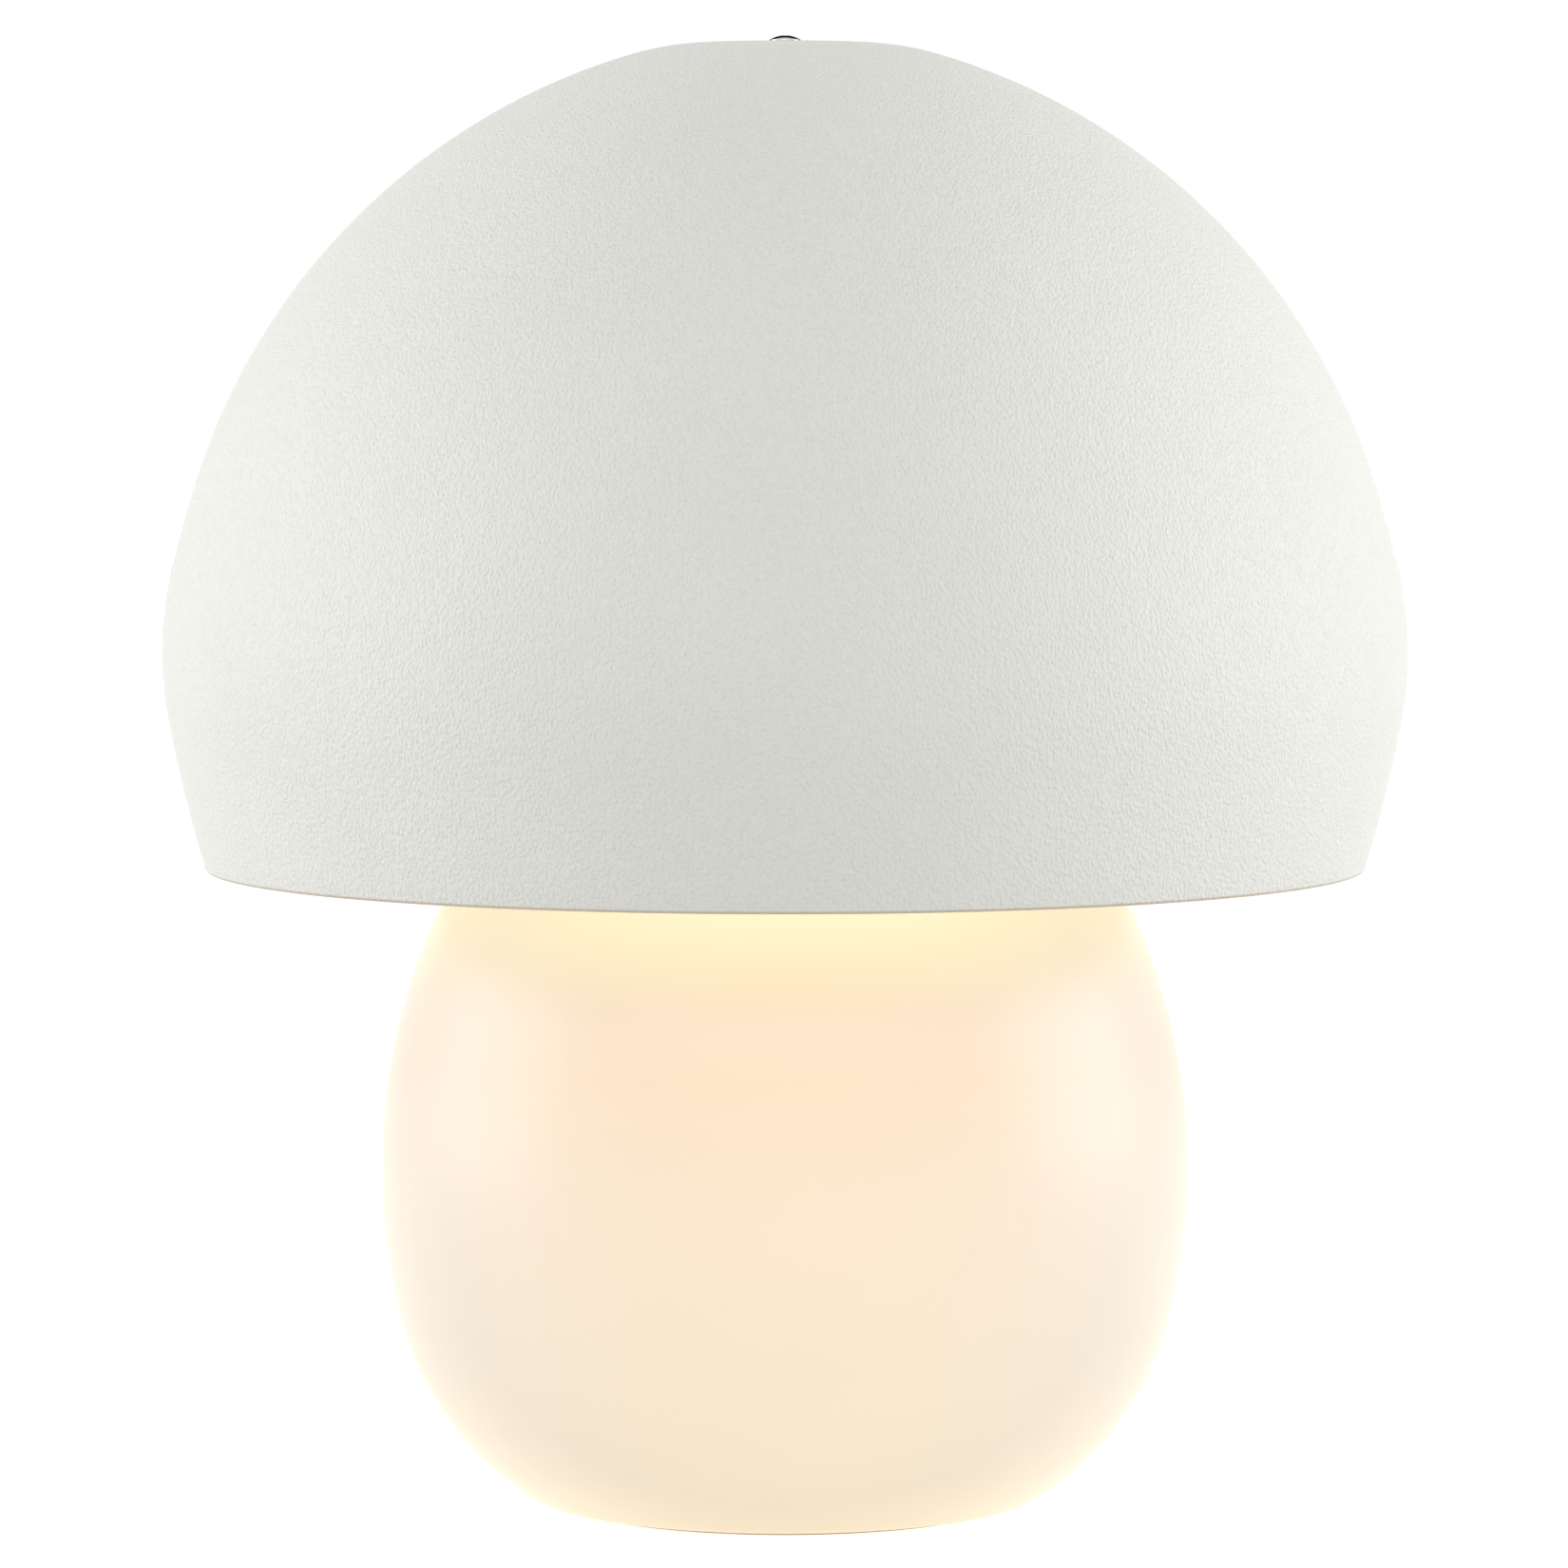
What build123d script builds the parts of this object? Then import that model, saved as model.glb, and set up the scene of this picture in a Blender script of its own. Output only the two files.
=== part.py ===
"""Mushroom table lamp: a domed sheet-metal shade over a lit opal glass base.

Millimetres, +Z up. The lamp's axis is Z, its front is -Y, and it stands on Z = 0.
Each function below makes one piece, and NODES at the end gives each piece its name.
"""

import os
from math import acos, cos, degrees, radians, sin, tan

from build123d import *

# ---------------------------------------------------------------- overall sizes
SHADE_DIAMETER = 330.0
SHADE_TOP_HEIGHT = 388.0
GLASS_DIAMETER = 215.0

# ---------------------------------------------------------------- fits and clearances
THREAD_CLEARANCE = 0.05  # radial, between a male thread's crest and its nut
RUNNING_CLEARANCE = 0.05  # radial, for a shaft that turns in its hole
HOLE_CLEARANCE = 0.3  # radial, for a bolt or pipe through a plain hole
BODY_GAP = 0.3  # between curved faces of pieces that move apart

# ---------------------------------------------------------------- shade
SHADE_SHEET = 0.8
SHADE_FLAT_RADIUS = 19.5
SHOULDER_RADIUS = 74.7
SHOULDER_END = 16.4  # degrees below level, where the shoulder meets the crown
CROWN_END = 72.0
FLANK_RADIUS = 350.0
FLANK_END = 75.7
BULGE_RADIUS = 99.2
BULGE_END = 100.8  # past 90 degrees the wall turns back in
SKIRT_RADIUS = 392.0
SKIRT_END = 106.5
RIM_BEAD_RADIUS = 1.2

# ---------------------------------------------------------------- glass base
GLASS_WALL = 3.5
FOOT_RADIUS = 63.0
FOOT_CURVE_RADIUS = 11.0
FOOT_CURVE_END = 33.0  # degrees above level
LOWER_CURVE_END = 77.0
BELLY_RADIUS = 166.0
UPPER_RADIUS = 165.0
NECK_RADIUS = 67.0  # outside, where the wall turns into its lip
KICK_HEIGHT = 16.0  # how far the floor stands above the foot
KICK_TOP_RADIUS = 40.0
FOOT_INNER_RADIUS = 50.0
KICK_TOP_FILLET = 4.0
KICK_FOOT_FILLET = 6.0

# ---------------------------------------------------------------- foot ring and base weight
FELT_THICKNESS = 1.0
FELT_MARGIN = 3.0  # how far the felt stays inside the foot's flat ring, at both edges
GASKET_THICKNESS = 1.5
LOWER_GASKET_RADIUS = 27.0
WEIGHT_MARGIN = 6.0  # from the weight to the edge of the raised floor
WEIGHT_THICKNESS = 7.0
WEIGHT_BEVEL = 1.0
WASHER_THICKNESS = 1.2
WASHER_RADIUS = 12.0

# ---------------------------------------------------------------- M10 x 1 lamp pipe
PIPE_RADIUS = 5.0
PIPE_BORE_RADIUS = 3.75
PIPE_NUT_FLATS = 14.0
PIPE_NUT_HEIGHT = 3.5
PIPE_END = 0.8  # how far a pipe's end stands out of its last nut

# ---------------------------------------------------------------- hub and stem
UPPER_GASKET_RADIUS = 20.0
CHECK_PLATE_RADIUS = 24.0
CHECK_PLATE_THICKNESS = 2.0
HUB_RADIUS = 11.0
HUB_HEIGHT = 22.0
HUB_THREAD = 8.0  # length of pipe that each end of the hub holds
HUB_ENTRY_RADIUS = 4.0
HUB_BEVEL = 1.0
STEM_TUBE_RADIUS = 7.5
STEM_TUBE_WALL = 1.0

# ---------------------------------------------------------------- cord grommet, in the back wall
INLET_HEADING = 60.0  # degrees above level of the glass wall's slope at the inlet
INLET_BORE_RADIUS = 3.6
GLASS_HOLE_RADIUS = 5.5
GROMMET_CLEARANCE = 0.1
GROMMET_FLANGE_RADIUS = 7.5
GROMMET_FLANGE = 2.0
GROMMET_ROUND = 0.8
GROMMET_SLACK = 0.45  # the flat inner flange stands off the hollow glass by this much

# ---------------------------------------------------------------- yoke and its saddle
BAR_THICKNESS = 2.5
BAR_WIDTH = 12.0
YOKE_BULB_GAP = 7.0
YOKE_TOP_BEND = 28.0  # outside radius of the two upper bends
YOKE_FOOT_BEND = 6.0
YOKE_FOOT_RADIUS = 20.0  # where each foot of the yoke ends, from the axis
SADDLE_END_ROUND = 4.0
SADDLE_EYE_WALL = 5.0  # metal round the pipe's hole in the saddle
M4_RADIUS = 2.0
M4_HEAD_RADIUS = 3.5
M4_HEAD_HEIGHT = 2.4
M4_DRIVE_WIDTH = 1.0
M4_DRIVE_DEPTH = 1.2
M4_NUT_FLATS = 7.0
M4_NUT_HEIGHT = 3.2
M4_THREAD_END = 1.0

# ---------------------------------------------------------------- shade seat and dome screw
SEAT_PLATE_MARGIN = 2.5  # from the plate to the edge of the shade's flat top
SEAT_PLATE_THICKNESS = 1.5
SEAT_GASKET_RADIUS = 9.0
SEAT_GASKET_THICKNESS = 1.0
DOME_SCREW_RADIUS = 1.92  # an M4 thread at its real crest
SHADE_HOLE_CLEARANCE = 0.06  # the screw centres the shade's thin sheet
BUSH_SPIGOT_RADIUS = 4.2
BUSH_FLANGE_RADIUS = 6.5
BUSH_FLANGE_THICKNESS = 2.0
BUSH_BODY_RADIUS = 5.0
BUSH_BODY_LENGTH = 5.0
CAPTIVE_WASHER_RADIUS = 4.0
CAPTIVE_WASHER_THICKNESS = 0.5
DOME_HEAD_RADIUS = 4.1
DOME_HEAD_HEIGHT = 1.5
DOME_HEAD_EDGE = 0.3  # straight wall under the dome of the head
DOME_SOCKET_FLATS = 2.5
DOME_SOCKET_DEPTH = 0.9
DOME_SCREW_LENGTH = 12.0

# ---------------------------------------------------------------- bulb, with an E26 cap
BULB_HEADROOM = 52.0  # free height between the bulb's top and the bush above it
BULB_LENGTH = 110.0
GLOBE_RADIUS = 30.0
GLOBE_WALL = 1.2
GLOBE_TURN = 125.0  # degrees of the globe's round part, from its top
GLOBE_NECK_RADIUS = 40.0
GLOBE_NECK_TURN = 27.0
GLOBE_NECK_STRAIGHT = 5.0
COLLAR_STEP = 1.1  # how far the collar stands out past the screw cap
COLLAR_WALL = 1.5
CAP_RADIUS = 12.9
CAP_WALL = 0.5
CAP_LENGTH = 18.0
CAP_INSULATOR_LENGTH = 6.0
CAP_FLOOR_HOLE_RADIUS = 6.0
TIP_RADIUS = 4.5
TIP_LENGTH = 1.5
LED_BOARD_THICKNESS = 1.6
LED_RADIUS = 1.4
LED_HEIGHT = 0.8
LED_COUNT = 8
LED_MARGIN = 4.5  # from the ring of chips to the board's edge

# ---------------------------------------------------------------- lampholder
CONTACT_GAP = 0.3
CONTACT_THICKNESS = 0.6
CONTACT_RADIUS = 4.0
SCREW_SHELL_WALL = 0.4
SCREW_SHELL_LENGTH = 23.0
BODY_CLEARANCE = 0.2  # between the interior body and the liner round it
BODY_LENGTH = 24.0
BODY_FLAT = 10.5  # distance from the axis to the flats that carry the terminals
LINER_AIR = 1.6  # between the screw shell and the liner
LINER_WALL = 0.6
SHELL_AIR = 0.5  # between the liner and the outer shell
HOLDER_SHELL_WALL = 0.7
HOLDER_CAP_WALL = 0.9
HOLDER_CAP_LENGTH = 24.0
HOLDER_CAP_SKIRT = 8.0
HOLDER_HUB_RADIUS = 8.0
HOLDER_HUB_HEIGHT = 8.0
TERMINAL_RADIUS = 1.7
TERMINAL_DEPTH = 4.0
TERMINAL_HEAD_RADIUS = 3.0
TERMINAL_HEAD_HEIGHT = 1.8
TERMINAL_DROP = 18.0  # below the centre contact

# ---------------------------------------------------------------- turn switch, towards the front
SWITCH_DROP = 11.0  # the switch's axis below the centre contact
SPINDLE_RADIUS = 1.6
ROTOR_RADIUS = 4.5
ROTOR_LENGTH = 6.0
KNOB_RADIUS = 6.5
KNOB_LENGTH = 13.0
KNOB_STANDOFF = 3.0  # from the shell to the knob
KNOB_FLUTES = 12
KNOB_FLUTE_RADIUS = 0.7
KNOB_BEVEL = 0.8

# ================================================================ heights along the axis
# From the table up to the hub.
foot_z = FELT_THICKNESS
floor_under_z = foot_z + KICK_HEIGHT
floor_top_z = floor_under_z + GLASS_WALL
weight_top_z = floor_under_z - GASKET_THICKNESS
weight_under_z = weight_top_z - WEIGHT_THICKNESS
lower_nut_top_z = weight_under_z - WASHER_THICKNESS
lower_nut_under_z = lower_nut_top_z - PIPE_NUT_HEIGHT
nipple_under_z = lower_nut_under_z - PIPE_END
check_plate_z = floor_top_z + GASKET_THICKNESS
hub_z = check_plate_z + CHECK_PLATE_THICKNESS
hub_top_z = hub_z + HUB_HEIGHT

# From the shade's top down to the yoke's bush and the bulb.
shade_under_z = SHADE_TOP_HEIGHT - SHADE_SHEET
seat_z = shade_under_z - SEAT_PLATE_THICKNESS
yoke_top_z = seat_z - SEAT_GASKET_THICKNESS
yoke_bar_under_z = yoke_top_z - BAR_THICKNESS
bush_flange_under_z = yoke_bar_under_z - BUSH_FLANGE_THICKNESS
bush_under_z = bush_flange_under_z - BUSH_BODY_LENGTH
bulb_top_z = bush_under_z - BULB_HEADROOM
bulb_tip_z = bulb_top_z - BULB_LENGTH
contact_z = bulb_tip_z - CONTACT_GAP
dome_washer_top_z = SHADE_TOP_HEIGHT + CAPTIVE_WASHER_THICKNESS

# The bulb's own heights, from its tip.
cap_insulator_z = bulb_tip_z + TIP_LENGTH
cap_z = cap_insulator_z + CAP_INSULATOR_LENGTH
collar_z = cap_z + CAP_LENGTH

# The lampholder, from the centre contact down to the saddle.
contact_under_z = contact_z - CONTACT_THICKNESS
body_under_z = contact_under_z - BODY_LENGTH
holder_cap_top_z = contact_under_z - BODY_LENGTH + HOLDER_CAP_SKIRT
holder_cap_z = holder_cap_top_z - HOLDER_CAP_LENGTH
holder_top_z = contact_under_z + SCREW_SHELL_LENGTH
saddle_z = holder_cap_z - BAR_THICKNESS
stem_washer_z = saddle_z - WASHER_THICKNESS
switch_z = contact_z - SWITCH_DROP
terminal_z = contact_z - TERMINAL_DROP

# Radii that follow from what a piece holds.
pipe_hole_radius = PIPE_RADIUS + HOLE_CLEARANCE
pipe_thread_radius = PIPE_RADIUS + THREAD_CLEARANCE
yoke_outer_radius = GLOBE_RADIUS + YOKE_BULB_GAP + BAR_THICKNESS
yoke_screw_place = (YOKE_FOOT_RADIUS + yoke_outer_radius - YOKE_FOOT_BEND) / 2
saddle_half_length = yoke_outer_radius - BAR_THICKNESS
weight_radius = KICK_TOP_RADIUS - WEIGHT_MARGIN
seat_plate_radius = SHADE_FLAT_RADIUS - SEAT_PLATE_MARGIN
screw_shell_radius = CAP_RADIUS + BODY_GAP
screw_shell_outer_radius = screw_shell_radius + SCREW_SHELL_WALL
liner_inner_radius = screw_shell_outer_radius + LINER_AIR
liner_radius = liner_inner_radius + LINER_WALL
holder_shell_radius = liner_radius + SHELL_AIR + HOLDER_SHELL_WALL
body_radius = liner_inner_radius - BODY_CLEARANCE
knob_start = holder_shell_radius + KNOB_STANDOFF
collar_base_radius = CAP_RADIUS + COLLAR_STEP
bush_thread_radius = DOME_SCREW_RADIUS + THREAD_CLEARANCE


# ================================================================ outlines
def solid_of_turning(edges):
    """Turn a closed section, drawn as (radius, height), about the lamp's axis."""
    return revolve(Plane.XZ * make_face(edges), Axis.Z, 360)


def turned(*corners):
    """Turn a section given by its (radius, height) corners."""
    return solid_of_turning(Polyline(*corners, close=True))


def ring(inner, outer, bottom, top):
    """A plain ring or tube about the lamp's axis."""
    return turned((inner, bottom), (outer, bottom), (outer, top), (inner, top))


def disc(radius, bottom, top):
    """A plain disc about the lamp's axis."""
    return Pos(0, 0, (bottom + top) / 2) * Cylinder(radius, top - bottom)


def hexagon(flats, bottom, top):
    """A hexagonal prism about the lamp's axis, by its width across flats."""
    outline = RegularPolygon(flats / 2, 6, major_radius=False)
    return extrude(Pos(0, 0, bottom) * outline, top - bottom)


def nut(flats, hole, bottom, top):
    """A hexagonal nut with its corners turned off at both faces."""
    corner = flats / 2 / cos(radians(30))
    bevel = corner - flats / 2
    barrel = turned(
        (hole, bottom),
        (flats / 2, bottom),
        (corner, bottom + bevel / 2),
        (corner, top - bevel / 2),
        (flats / 2, top),
        (hole, top),
    )
    return hexagon(flats, bottom, top) & barrel


def tangent_arcs(start, direction, arcs):
    """A run of arcs, each tangent to the one before, from (radius, signed turn) pairs."""
    edges = []
    for radius, turn in arcs:
        edges.append(JernArc(start, direction, radius, turn))
        start = edges[-1] @ 1
        direction = edges[-1] % 1
    return edges


def crown_radius():
    """The radius of the shade's crown that brings its widest point to SHADE_DIAMETER."""
    shoulder = SHOULDER_RADIUS * sin(radians(SHOULDER_END))
    flank = FLANK_RADIUS * (sin(radians(FLANK_END)) - sin(radians(CROWN_END)))
    bulge = BULGE_RADIUS * (1 - sin(radians(FLANK_END)))
    left_over = SHADE_DIAMETER / 2 - SHADE_FLAT_RADIUS - shoulder - flank - bulge
    return left_over / (sin(radians(CROWN_END)) - sin(radians(SHOULDER_END)))


def shade_arcs(inset):
    """The shade's wall from its flat top to its rim, moved inwards by inset."""
    return [
        (SHOULDER_RADIUS - inset, -SHOULDER_END),
        (crown_radius() - inset, SHOULDER_END - CROWN_END),
        (FLANK_RADIUS - inset, CROWN_END - FLANK_END),
        (BULGE_RADIUS - inset, FLANK_END - BULGE_END),
        (SKIRT_RADIUS - inset, BULGE_END - SKIRT_END),
    ]


def lower_curve_radius():
    """The radius of the glass above its foot that brings the belly to GLASS_DIAMETER."""
    foot = FOOT_CURVE_RADIUS * sin(radians(FOOT_CURVE_END))
    belly = BELLY_RADIUS * (1 - sin(radians(LOWER_CURVE_END)))
    left_over = GLASS_DIAMETER / 2 - FOOT_RADIUS - foot - belly
    return left_over / (sin(radians(LOWER_CURVE_END)) - sin(radians(FOOT_CURVE_END)))


def neck_turn():
    """Degrees that the glass turns above its widest point, to reach NECK_RADIUS."""
    return degrees(acos(1 - (GLASS_DIAMETER / 2 - NECK_RADIUS) / UPPER_RADIUS))


def glass_arcs(inset):
    """The glass wall from its foot to its neck, moved inwards by inset."""
    return [
        (FOOT_CURVE_RADIUS - inset, FOOT_CURVE_END),
        (lower_curve_radius() - inset, LOWER_CURVE_END - FOOT_CURVE_END),
        (BELLY_RADIUS - inset, 90 - LOWER_CURVE_END),
        (UPPER_RADIUS - inset, neck_turn()),
    ]


def inlet_plane():
    """The plane on the outside of the glass at the cord's inlet, its Z pointing outwards."""
    foot, lower = glass_arcs(0)[:2]
    to_inlet = [foot, (lower[0], INLET_HEADING - FOOT_CURVE_END)]
    point = tangent_arcs((FOOT_RADIUS, foot_z), (1, 0), to_inlet)[-1] @ 1
    outwards = (0, sin(radians(INLET_HEADING)), -cos(radians(INLET_HEADING)))
    return Plane(origin=(0, point.X, point.Y), x_dir=(1, 0, 0), z_dir=outwards)


# ================================================================ shade
def shade_dome():
    """The spun sheet of the shade, with a bead turned in at its rim and a hole at its top."""
    hole = DOME_SCREW_RADIUS + SHADE_HOLE_CLEARANCE
    top_line = Line((hole, SHADE_TOP_HEIGHT), (SHADE_FLAT_RADIUS, SHADE_TOP_HEIGHT))
    under_line = Line((hole, shade_under_z), (SHADE_FLAT_RADIUS, shade_under_z))
    outside = tangent_arcs(top_line @ 1, (1, 0), shade_arcs(0))
    inside = tangent_arcs(under_line @ 1, (1, 0), shade_arcs(SHADE_SHEET))
    rim_line = Line(outside[-1] @ 1, inside[-1] @ 1)
    hole_line = Line(top_line @ 0, under_line @ 0)
    sheet = make_face([top_line, under_line, *outside, *inside, rim_line, hole_line])
    inwards = (rim_line @ 1 - rim_line @ 0).normalized()
    bead_centre = rim_line @ 0 + inwards * RIM_BEAD_RADIUS
    bead = Pos(bead_centre.X, bead_centre.Y) * Circle(RIM_BEAD_RADIUS)
    return revolve(Plane.XZ * (sheet + bead), Axis.Z, 360)


def shade_seat_plate():
    """The stiffening plate bonded under the shade's flat top."""
    hole = DOME_SCREW_RADIUS + HOLE_CLEARANCE
    return ring(hole, seat_plate_radius, seat_z, shade_under_z)


def captive_washer():
    """The thin washer held under the dome screw's head."""
    hole = DOME_SCREW_RADIUS + RUNNING_CLEARANCE
    return ring(hole, CAPTIVE_WASHER_RADIUS, SHADE_TOP_HEIGHT, dome_washer_top_z)


def dome_screw():
    """The low domed M4 screw that holds the shade down on the yoke."""
    edge_z = dome_washer_top_z + DOME_HEAD_EDGE
    head_top_z = dome_washer_top_z + DOME_HEAD_HEIGHT
    rise = DOME_HEAD_HEIGHT - DOME_HEAD_EDGE
    dome_radius = (DOME_HEAD_RADIUS**2 + rise**2) / (2 * rise)
    half_turn = degrees(acos(1 - rise / dome_radius))
    tip_z = dome_washer_top_z - DOME_SCREW_LENGTH
    dome = JernArc((0, head_top_z), (1, 0), dome_radius, -half_turn)
    lower_edge = Polyline(
        dome @ 1,
        (DOME_HEAD_RADIUS, dome_washer_top_z),
        (DOME_SCREW_RADIUS, dome_washer_top_z),
        (DOME_SCREW_RADIUS, tip_z + DOME_SCREW_RADIUS / 4),
        (DOME_SCREW_RADIUS * 3 / 4, tip_z),
        (0, tip_z),
        (0, head_top_z),
    )
    screw = solid_of_turning([dome, lower_edge])
    return screw - hexagon(DOME_SOCKET_FLATS, head_top_z - DOME_SOCKET_DEPTH, head_top_z)


# ================================================================ glass base and what stands under it
def glass_base():
    """The blown opal glass: a kicked-up floor, a round belly, an open neck with a rounded lip."""
    outside = tangent_arcs((FOOT_RADIUS, foot_z), (1, 0), glass_arcs(0))
    inside = tangent_arcs((FOOT_RADIUS, foot_z + GLASS_WALL), (1, 0), glass_arcs(GLASS_WALL))
    lip = JernArc(outside[-1] @ 1, outside[-1] % 1, GLASS_WALL / 2, 180)
    slope = degrees(acos((FOOT_INNER_RADIUS - KICK_TOP_RADIUS) / kick_slope_length()))
    shift = GLASS_WALL * tan(radians(slope / 2))
    underside = FilletPolyline(
        (pipe_hole_radius, floor_under_z),
        (KICK_TOP_RADIUS, floor_under_z),
        (FOOT_INNER_RADIUS, foot_z),
        (FOOT_RADIUS, foot_z),
        radius=[KICK_TOP_FILLET, KICK_FOOT_FILLET],
    )
    floor_top = FilletPolyline(
        (pipe_hole_radius, floor_top_z),
        (KICK_TOP_RADIUS + shift, floor_top_z),
        (FOOT_INNER_RADIUS + shift, foot_z + GLASS_WALL),
        (FOOT_RADIUS, foot_z + GLASS_WALL),
        radius=[KICK_TOP_FILLET + GLASS_WALL, KICK_FOOT_FILLET - GLASS_WALL],
    )
    hole_line = Line(underside @ 0, floor_top @ 0)
    glass = solid_of_turning([underside, floor_top, hole_line, *outside, *inside, lip])
    drill = inlet_plane() * Cylinder(GLASS_HOLE_RADIUS, 4 * GLASS_WALL)
    return glass - drill


def kick_slope_length():
    """The length of the sloping wall between the foot and the raised floor."""
    return ((FOOT_INNER_RADIUS - KICK_TOP_RADIUS) ** 2 + KICK_HEIGHT**2) ** 0.5


def foot_felt():
    """The felt ring under the glass foot, on which the lamp stands."""
    inner = FOOT_INNER_RADIUS + FELT_MARGIN
    outer = FOOT_RADIUS - FELT_MARGIN
    return ring(inner, outer, 0, foot_z)


def lower_gasket():
    return ring(pipe_hole_radius, LOWER_GASKET_RADIUS, weight_top_z, floor_under_z)


def base_weight():
    """The iron disc that fills the recess under the glass floor."""
    bevel = WEIGHT_BEVEL
    return turned(
        (pipe_hole_radius, weight_under_z),
        (weight_radius - bevel, weight_under_z),
        (weight_radius, weight_under_z + bevel),
        (weight_radius, weight_top_z - bevel),
        (weight_radius - bevel, weight_top_z),
        (pipe_hole_radius, weight_top_z),
    )


def lower_washer():
    return ring(pipe_hole_radius, WASHER_RADIUS, lower_nut_top_z, weight_under_z)


def lower_nut():
    return nut(PIPE_NUT_FLATS, pipe_thread_radius, lower_nut_under_z, lower_nut_top_z)


def floor_nipple():
    """The short threaded pipe through the glass floor, from the lower nut into the hub."""
    return ring(PIPE_BORE_RADIUS, PIPE_RADIUS, nipple_under_z, hub_z + HUB_THREAD)


# ================================================================ hub and stem
def upper_gasket():
    return ring(pipe_hole_radius, UPPER_GASKET_RADIUS, floor_top_z, check_plate_z)


def check_plate():
    """The steel disc that spreads the hub's load over the glass floor."""
    return ring(pipe_hole_radius, CHECK_PLATE_RADIUS, check_plate_z, hub_z)


def entry_hub():
    """The turned coupling between nipple and stem pipe, with a side hole for the wires."""
    bevel = HUB_BEVEL
    barrel = turned(
        (pipe_thread_radius, hub_z),
        (HUB_RADIUS - bevel, hub_z),
        (HUB_RADIUS, hub_z + bevel),
        (HUB_RADIUS, hub_top_z - bevel),
        (HUB_RADIUS - bevel, hub_top_z),
        (pipe_thread_radius, hub_top_z),
    )
    entry_z = hub_z + HUB_HEIGHT / 2
    side_hole = Pos(0, HUB_RADIUS / 2, entry_z) * Rot(90, 0, 0) * Cylinder(HUB_ENTRY_RADIUS, HUB_RADIUS * 2)
    return barrel - side_hole


def stem_pipe():
    """The long threaded pipe that carries the lampholder."""
    top_z = holder_cap_z + HOLDER_HUB_HEIGHT + PIPE_END
    return ring(PIPE_BORE_RADIUS, PIPE_RADIUS, hub_top_z - HUB_THREAD, top_z)


def stem_tube():
    """The plain tube over the stem pipe, clamped between hub and stem washer."""
    return ring(STEM_TUBE_RADIUS - STEM_TUBE_WALL, STEM_TUBE_RADIUS, hub_top_z, stem_washer_z)


def stem_washer():
    return ring(pipe_hole_radius, WASHER_RADIUS, stem_washer_z, saddle_z)


def cord_grommet():
    """The rubber grommet snapped into the back wall of the glass, where the cord goes in."""
    inner_face = -(GLASS_WALL + GROMMET_SLACK)
    groove = GLASS_HOLE_RADIUS - GROMMET_CLEARANCE
    round_ = GROMMET_ROUND
    section = Polyline(
        (INLET_BORE_RADIUS, inner_face - GROMMET_FLANGE),
        (GROMMET_FLANGE_RADIUS - round_, inner_face - GROMMET_FLANGE),
        (GROMMET_FLANGE_RADIUS, inner_face - GROMMET_FLANGE + round_),
        (GROMMET_FLANGE_RADIUS, inner_face),
        (groove, inner_face),
        (groove, 0),
        (GROMMET_FLANGE_RADIUS, 0),
        (GROMMET_FLANGE_RADIUS, GROMMET_FLANGE - round_),
        (GROMMET_FLANGE_RADIUS - round_, GROMMET_FLANGE),
        (INLET_BORE_RADIUS, GROMMET_FLANGE),
        close=True,
    )
    return inlet_plane() * solid_of_turning(section)


# ================================================================ yoke
def saddle_plate():
    """The flat strip under the lampholder, with a round eye for the pipe and the yoke's feet."""
    strip = RectangleRounded(2 * saddle_half_length, BAR_WIDTH, SADDLE_END_ROUND)
    plate = extrude(Pos(0, 0, saddle_z) * strip, BAR_THICKNESS)
    plate += disc(pipe_hole_radius + SADDLE_EYE_WALL, saddle_z, holder_cap_z)
    plate -= disc(pipe_hole_radius, saddle_z, holder_cap_z)
    return plate - yoke_screw_holes(saddle_z, holder_cap_z)


def yoke_screw_holes(bottom, top):
    """The two M4 holes through saddle and yoke feet."""
    hole = disc(M4_RADIUS + HOLE_CLEARANCE, bottom, top)
    return Part() + [Pos(side * yoke_screw_place, 0, 0) * hole for side in (-1, 1)]


def yoke():
    """The flat bar bent round the bulb, from foot to foot over the top."""
    foot_under_z = holder_cap_z
    outer = FilletPolyline(
        (-YOKE_FOOT_RADIUS, foot_under_z),
        (-yoke_outer_radius, foot_under_z),
        (-yoke_outer_radius, yoke_top_z),
        (yoke_outer_radius, yoke_top_z),
        (yoke_outer_radius, foot_under_z),
        (YOKE_FOOT_RADIUS, foot_under_z),
        radius=[YOKE_FOOT_BEND, YOKE_TOP_BEND, YOKE_TOP_BEND, YOKE_FOOT_BEND],
    )
    inner_radius = yoke_outer_radius - BAR_THICKNESS
    foot_top_z = foot_under_z + BAR_THICKNESS
    inner_foot_bend = YOKE_FOOT_BEND - BAR_THICKNESS
    inner_top_bend = YOKE_TOP_BEND - BAR_THICKNESS
    inner = FilletPolyline(
        (-YOKE_FOOT_RADIUS, foot_top_z),
        (-inner_radius, foot_top_z),
        (-inner_radius, yoke_bar_under_z),
        (inner_radius, yoke_bar_under_z),
        (inner_radius, foot_top_z),
        (YOKE_FOOT_RADIUS, foot_top_z),
        radius=[inner_foot_bend, inner_top_bend, inner_top_bend, inner_foot_bend],
    )
    ends = [Line(outer @ 0, inner @ 0), Line(outer @ 1, inner @ 1)]
    side_view = Plane.XZ * make_face([outer, inner, *ends])
    bar = extrude(side_view, BAR_WIDTH / 2, both=True)
    bar -= disc(BUSH_SPIGOT_RADIUS + HOLE_CLEARANCE, yoke_bar_under_z, yoke_top_z)
    return bar - yoke_screw_holes(foot_under_z, foot_top_z)


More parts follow.
